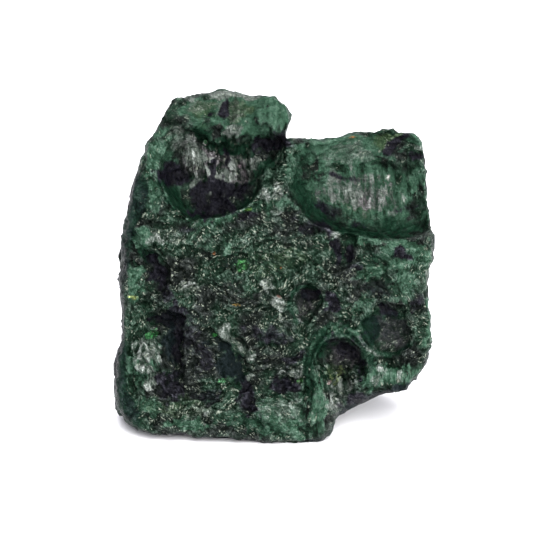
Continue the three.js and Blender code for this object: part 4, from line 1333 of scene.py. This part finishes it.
        # bright flecks, broken by the same grain
        fleck = add("Attribute", out="Alpha", attribute_name="fleck")
        tone = add("Attribute", out="Color", attribute_name="fleck")
        dimmed = add("Math", bright, 0.32, operation="MULTIPLY")
        tone = add("VectorMath", tone, Scale=dimmed, operation="SCALE")
        chipped = add("MapRange", fine, 0.42, 0.56, 0.1, 0.9)
        fleck = add("Math", fleck, chipped, operation="MULTIPLY")
        colour = add("Mix", fleck, A_Color=colour, B_Color=tone, out=2, data_type="RGBA")

        # every crystal has a face of its own, so that each catches the light by itself
        tilt = add("VectorMath", tilt, Scale=loose, operation="SCALE")
        normal = add("VectorMath", add("NewGeometry", out="Normal"), tilt, operation="ADD")
        normal = add("VectorMath", normal, operation="NORMALIZE")
        height = add("Math", streak, 2.0, fine, operation="MULTIPLY_ADD")
        normal = add("Bump", Height=height, Normal=normal, Strength=0.6, Distance=0.35 * MM)

        rough = add("Math", fine, 0.25, 0.24, operation="MULTIPLY_ADD")
        glassy = add("Math", shown[Mineral.DEEP], shown[Mineral.SLAB], operation="MAXIMUM")
        gloss = add("MapRange", glassy, 0.0, 1.0, 0.035, 0.012)
        waxy = add("Math", shown[Mineral.RICH], 0.25, operation="MULTIPLY")
        surface = {
            "Base Color": colour,
            "Roughness": rough,
            "Normal": normal,
            "IOR": 1.58,
            "Specular IOR Level": gloss,
            "Subsurface Weight": waxy,
            "Subsurface Radius": (0.7, 1.0, 0.8),
            "Subsurface Scale": 1.2 * MM,
        }
        shader = add("BsdfPrincipled", **surface)
        tree.links.new(shader, tree.nodes.new("ShaderNodeOutputMaterial").inputs[0])
        return material


@dataclass(frozen=True)
class PaleTableTop:
    """A matt white board, that gives the eye a plain ground without a texture."""

    name: str = "matt white laminate board"
    colour: str = "#f6f5f7"
    roughness: float = 0.85

    def make(self) -> bpy.types.Material:
        """Builds the material.

        Returns:
            The material.
        """
        material = bpy.data.materials.new(self.name)
        material.use_nodes = True
        shader = material.node_tree.nodes["Principled BSDF"]
        shader.inputs["Base Color"].default_value = linear(self.colour)
        shader.inputs["Roughness"].default_value = self.roughness
        return material


# Pieces


def pick(thing: bpy.types.Object | None = None) -> None:
    """Selects one object alone and makes it active, or leaves nothing selected and nothing active."""
    if bpy.context.mode != "OBJECT":
        bpy.ops.object.mode_set(mode="OBJECT")
    bpy.ops.object.select_all(action="DESELECT")
    bpy.context.view_layer.objects.active = thing
    if thing:
        thing.select_set(True)


@dataclass
class RoughEmerald:
    """The stone.

    Attributes:
        node: The solid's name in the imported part.
        form: Its shape.
        pattern: Its minerals.
        sphere_steps: How finely the first ball is cut, and cuts those of each of its edges.
        relief: Layers of small chips, all over.
        bend: The width and height of the bends in their rows, and bend_seeds their patterns.
        sugar_size: The width of the smallest crystals that stand out, and sugar_height how far they do.
        margin: What is kept free inside the solid's box.
        middle: The part's origin in the upright form's own place, once the stone stands.
    """

    node: str = "emerald"
    form: StoneForm = field(default_factory=StoneForm)
    pattern: MineralPattern = field(default_factory=MineralPattern)
    sphere_steps: int = 5
    cuts: int = 5
    relief: tuple[Chips, ...] = (
        Chips((3.4, 2.2), 0.42, 380),
        Chips((1.5, 0.95), 0.3, 400, 22.0),
        Chips((0.75, 0.55), 0.14, 420, 22.0),
    )
    bend: Point = (5, 1.6)
    bend_seeds: Point = (61, 63)
    sugar_size: float = 0.5
    sugar_height: float = 0.05
    margin: float = 0.02
    middle: Floats = field(init=False, default_factory=lambda: np.zeros(3))

    def build(self) -> bpy.types.Object:
        """Models and dresses the stone.

        Returns:
            Its object.
        """
        stone = self.add_ball()
        skin, minerals, flecks = self.shape(stone)
        self.dust_with_sugar(stone)
        self.stand(stone, skin)
        self.mark(stone, minerals, flecks)
        self.cut_foot(stone)
        self.keep_in_box(stone)
        self.dress(stone)
        return stone

    def add_ball(self) -> bpy.types.Object:
        """Adds a ball of even triangles.

        Returns:
            Its object, in object mode.
        """
        pick()
        bpy.ops.mesh.primitive_ico_sphere_add(subdivisions=self.sphere_steps, radius=1.0)
        stone = bpy.context.active_object
        stone.name = "rough_emerald"
        bpy.ops.object.mode_set(mode="EDIT")
        bpy.ops.mesh.select_all(action="SELECT")
        bpy.ops.mesh.subdivide(number_cuts=self.cuts)
        bpy.ops.mesh.quads_convert_to_tris()
        bpy.ops.object.mode_set(mode="OBJECT")
        return stone

    def read(self, stone: bpy.types.Object) -> Floats:
        """The places of its points, one in each row."""
        flat = np.empty(len(stone.data.vertices) * 3)
        stone.data.vertices.foreach_get("co", flat)
        return flat.reshape(-1, 3)

    def write(self, stone: bpy.types.Object, points: Floats) -> None:
        """Moves its points."""
        stone.data.vertices.foreach_set("co", points.ravel())
        stone.data.update()

    def push(self, stone: bpy.types.Object, height: Floats) -> None:
        """Moves its points along their normals."""
        flat = np.empty(len(stone.data.vertices) * 3, np.float32)
        stone.data.vertex_normals.foreach_get("vector", flat)
        self.write(stone, self.read(stone) + flat.reshape(-1, 3) * height[:, None])

    def shape(self, stone: bpy.types.Object) -> tuple[Floats, dict[str, Floats], Floats]:
        """Gives the ball the stone's form and its small chips, still in the face's frame.

        Args:
            stone: The ball.

        Returns:
            The form's places before the small chips, the amount of each mineral at each point, and the
            flecks' colour there.
        """
        direction = self.read(stone)
        direction /= np.linalg.norm(direction, axis=1, keepdims=True)
        skin, deep, walls, face = self.form.points(direction)
        u, v, w = skin.T
        minerals = self.pattern.minerals(u, v, w, walls, face)
        self.write(stone, skin)
        size, bend = self.bend
        bend_u, bend_v = (bend * swell(u / size, v / size, w / size, seed) for seed in self.bend_seeds)
        # clear beryl, upright walls, the sides and the dark sheets, with the painted shade of the left side
        # and the underside, are smoother
        calm = (1 - 0.45 * np.maximum(minerals["rich"], minerals["deep"])) * (1 - 0.8 * walls)
        calm = calm * (0.6 + 0.4 * face) * (1 - 0.7 * minerals["slab"])
        height = sum(layer.rise(u + bend_u, v + bend_v, w) for layer in self.relief) * calm
        front = self.form.face
        for ribs in front.ribs:
            height = height + face * (1 - walls) * ribs.rise(u, v, w)
        for line in front.seams + front.rings:
            height = height + face * line.rise(u, v)
        self.push(stone, height)
        # upright where splinters stand, soft deep in the hollows and at the top, edge from 0 in a dip to 1
        # on an edge: the material darkens dips as painted shade and lightens edges as a painted highlight
        ribbed = np.max([ribs.tint * ribs.shown(u, v) for ribs in front.ribs], axis=0)
        minerals["upright"] = face * np.maximum(ribbed, 0.6 * walls)
        minerals["soft"] = face * np.maximum(smooth((deep - 0.3) / 1.2), smooth((v - 48) / 3))
        minerals["edge"] = np.clip(0.5 - self.hollowness(stone, 6) / 0.16, 0, 1)
        return skin, minerals, self.pattern.fleck_colours(u, v, face)

    def hollowness(self, stone: bpy.types.Object, rounds: int) -> Floats:
        """How far the skin lies below its own smoothed course: above 0 in a dip, below 0 on an edge.

        Args:
            stone: The stone.
            rounds: How often it is smoothed.

        Returns:
            A depth for each point.
        """
        mesh = stone.data
        ends = np.empty(len(mesh.edges) * 2, np.int32)
        mesh.edges.foreach_get("vertices", ends)
        a, b = ends.reshape(-1, 2).T
        normals = np.empty(len(mesh.vertices) * 3, np.float32)
        mesh.vertex_normals.foreach_get("vector", normals)
        points = self.read(stone)
        count = np.bincount(ends, minlength=len(points))
        course = points.copy()
        for _ in range(rounds):
            for axis in range(3):
                near = np.bincount(a, course[b, axis], len(points))
                near = near + np.bincount(b, course[a, axis], len(points))
                course[:, axis] = near / count
        return ((course - points) * normals.reshape(-1, 3)).sum(1)

    def dust_with_sugar(self, stone: bpy.types.Object) -> None:
        """Roughens the skin with the smallest crystals, by a displace modifier."""
        texture = bpy.data.textures.new("small crystals", "VORONOI")
        texture.noise_scale = self.sugar_size
        texture.distance_metric = "DISTANCE"
        texture.weight_1 = 1.0
        modifier = stone.modifiers.new("small crystals", "DISPLACE")
        modifier.texture = texture
        modifier.texture_coords = "LOCAL"
        modifier.mid_level = 0.35
        modifier.strength = self.sugar_height
        pick(stone)
        bpy.ops.object.modifier_apply(modifier=modifier.name)

    def stand(self, stone: bpy.types.Object, skin: Floats) -> None:
        """Stands the stone up, with the middle of its form's box over the origin, in metres.

        Args:
            stone: The stone, in the face's frame.
            skin: The form's places, without the small chips.
        """
        form = self.form.stand_up(skin)
        kept = form[form[:, 2] > 0]
        self.middle = (kept.min(0) + kept.max(0)) / 2 * (1, 1, 0)
        self.write(stone, (self.form.stand_up(self.read(stone)) - self.middle) * MM)

    def mark(self, stone: bpy.types.Object, minerals: dict[str, Floats], flecks: Floats) -> None:
        """Writes the minerals and flecks on the mesh as attributes.

        Args:
            stone: The stone.
            minerals: Values from 0 to 1 for each point, by attribute.
            flecks: The flecks' colour at each point.
        """
        for name, amount in minerals.items():
            attribute = stone.data.attributes.new(name, "FLOAT", "POINT")
            attribute.data.foreach_set("value", amount.astype(np.float32))
        attribute = stone.data.attributes.new("fleck", "FLOAT_COLOR", "POINT")
        attribute.data.foreach_set("color", flecks.astype(np.float32).ravel())

    def cut_foot(self, stone: bpy.types.Object) -> None:
        """Cuts off what lies below the floor and closes the cut, which leaves the flat foot."""
        pick(stone)
        bpy.ops.object.mode_set(mode="EDIT")
        bpy.ops.mesh.select_all(action="SELECT")
        bpy.ops.mesh.bisect(
            plane_co=(0, 0, 0), plane_no=(0, 0, 1), use_fill=True, clear_inner=True, threshold=1e-7
        )
        bpy.ops.mesh.select_all(action="SELECT")
        bpy.ops.mesh.quads_convert_to_tris()
        bpy.ops.object.mode_set(mode="OBJECT")

    def keep_in_box(self, stone: bpy.types.Object) -> None:
        """Presses the few points that stand past the solid's box back into it."""
        low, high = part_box(self.node)
        gap = self.margin * MM
        points = np.clip(self.read(stone), np.array(low) + gap, np.array(high) - gap)
        points[:, 2] = np.where(points[:, 2] <= gap * 1.001, 0, points[:, 2])
        self.write(stone, points)

    def dress(self, stone: bpy.types.Object) -> None:
        """Gives the stone its finish and its place in the part."""
        stone.data.materials.append(BrokenBeryl().make())
        pick(stone)
        bpy.ops.object.shade_smooth()
        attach(stone, "root")
        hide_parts(self.node)


@dataclass(frozen=True)
class Softbox:
    """A square light that looks at the stone: where it hangs, its side, and its power in watts."""

    name: str
    place: Point3
    side: float
    power: float


@dataclass
class Studio:
    """The floor, the soft light and the camera.

    Attributes:
        floor_side: The floor's width.
        stone_middle: How high up the softboxes aim.
        softboxes: The lights.
        glow: The colour of the light from all round, in sRGB hex, and glow_strength its strength.
        aim: The middle of the picture on the face, [u, v].
        width: How much the picture shows across, there.
        away: How far off the camera stands.
        sensor: Its sensor's width, and clip the nearest and furthest that it sees.
    """

    floor_side: float = 4000.0
    stone_middle: float = 25.0
    softboxes: tuple[Softbox, ...] = (
        Softbox("key softbox", (100.0, -950.0, 850.0), 900.0, 39.0),
        Softbox("top softbox", (0.0, 600.0, 950.0), 900.0, 15.0),
        Softbox("front softbox", (950.0, -850.0, 420.0), 700.0, 22.0),
    )
    glow: str = "#efeeff"
    glow_strength: float = 0.5
    aim: Point = (-0.9, 28.9)
    width: float = 86.3
    away: float = 600.0
    sensor: float = 36.0
    clip: Point = (10.0, 20000.0)

    def build(self, stone: RoughEmerald) -> None:
        """Builds all of it round the stone.

        Args:
            stone: The stone's measures.
        """
        self.add_floor()
        for softbox in self.softboxes:
            self.add_light(softbox)
        self.add_glow()
        self.add_camera(stone)
        bpy.context.scene.view_settings.view_transform = "Standard"

    def add_floor(self) -> None:
        """Adds the floor."""
        pick()
        bpy.ops.mesh.primitive_plane_add(size=self.floor_side * MM, location=(0, 0, 0))
        floor = bpy.context.active_object
        floor.name = "table_top"
        floor.data.materials.append(PaleTableTop().make())

    def add_light(self, softbox: Softbox) -> None:
        """Adds one light, turned to the stone's middle."""
        pick()
        place = Vector(softbox.place) * MM
        turn = (Vector((0, 0, self.stone_middle * MM)) - place).to_track_quat("-Z", "Y").to_euler()
        bpy.ops.object.light_add(type="AREA", location=place, rotation=turn)
        light = bpy.context.active_object
        light.name = softbox.name
        light.data.shape = "SQUARE"
        light.data.size = softbox.side * MM
        light.data.energy = softbox.power

    def add_glow(self) -> None:
        """Adds an even glow all round."""
        world = bpy.data.worlds.new("studio glow")
        world.use_nodes = True
        background = world.node_tree.nodes["Background"]
        background.inputs["Color"].default_value = linear(self.glow)
        background.inputs["Strength"].default_value = self.glow_strength
        bpy.context.scene.world = world

    def add_camera(self, stone: RoughEmerald) -> None:
        """Adds the camera, square on to the hollowed face.

        Args:
            stone: The stone's measures.
        """
        form = stone.form
        aim = form.stand_up(np.array([[*self.aim, 0.0]]))[0] - stone.middle
        back = Vector((0, -math.cos(form.lean), math.sin(form.lean)))
        place = Vector(aim * MM) + back * self.away * MM
        pick()
        bpy.ops.object.camera_add(location=place, rotation=back.to_track_quat("Z", "Y").to_euler())
        camera = bpy.context.active_object
        camera.data.sensor_width = self.sensor
        camera.data.lens = self.sensor * self.away / self.width
        camera.data.clip_start, camera.data.clip_end = (limit * MM for limit in self.clip)
        bpy.context.scene.camera = camera


def main() -> None:
    """Builds the stone and its studio, and reports them."""
    logging.basicConfig(level=logging.INFO, format="%(name)s: %(message)s")
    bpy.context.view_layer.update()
    stone = RoughEmerald()
    piece = stone.build()
    log.info("%s: %d points, %d faces", piece.name, len(piece.data.vertices), len(piece.data.polygons))
    studio = Studio()
    studio.build(stone)
    log.info("studio: floor, three softboxes, glow and camera")


if __name__ == "__main__":
    main()
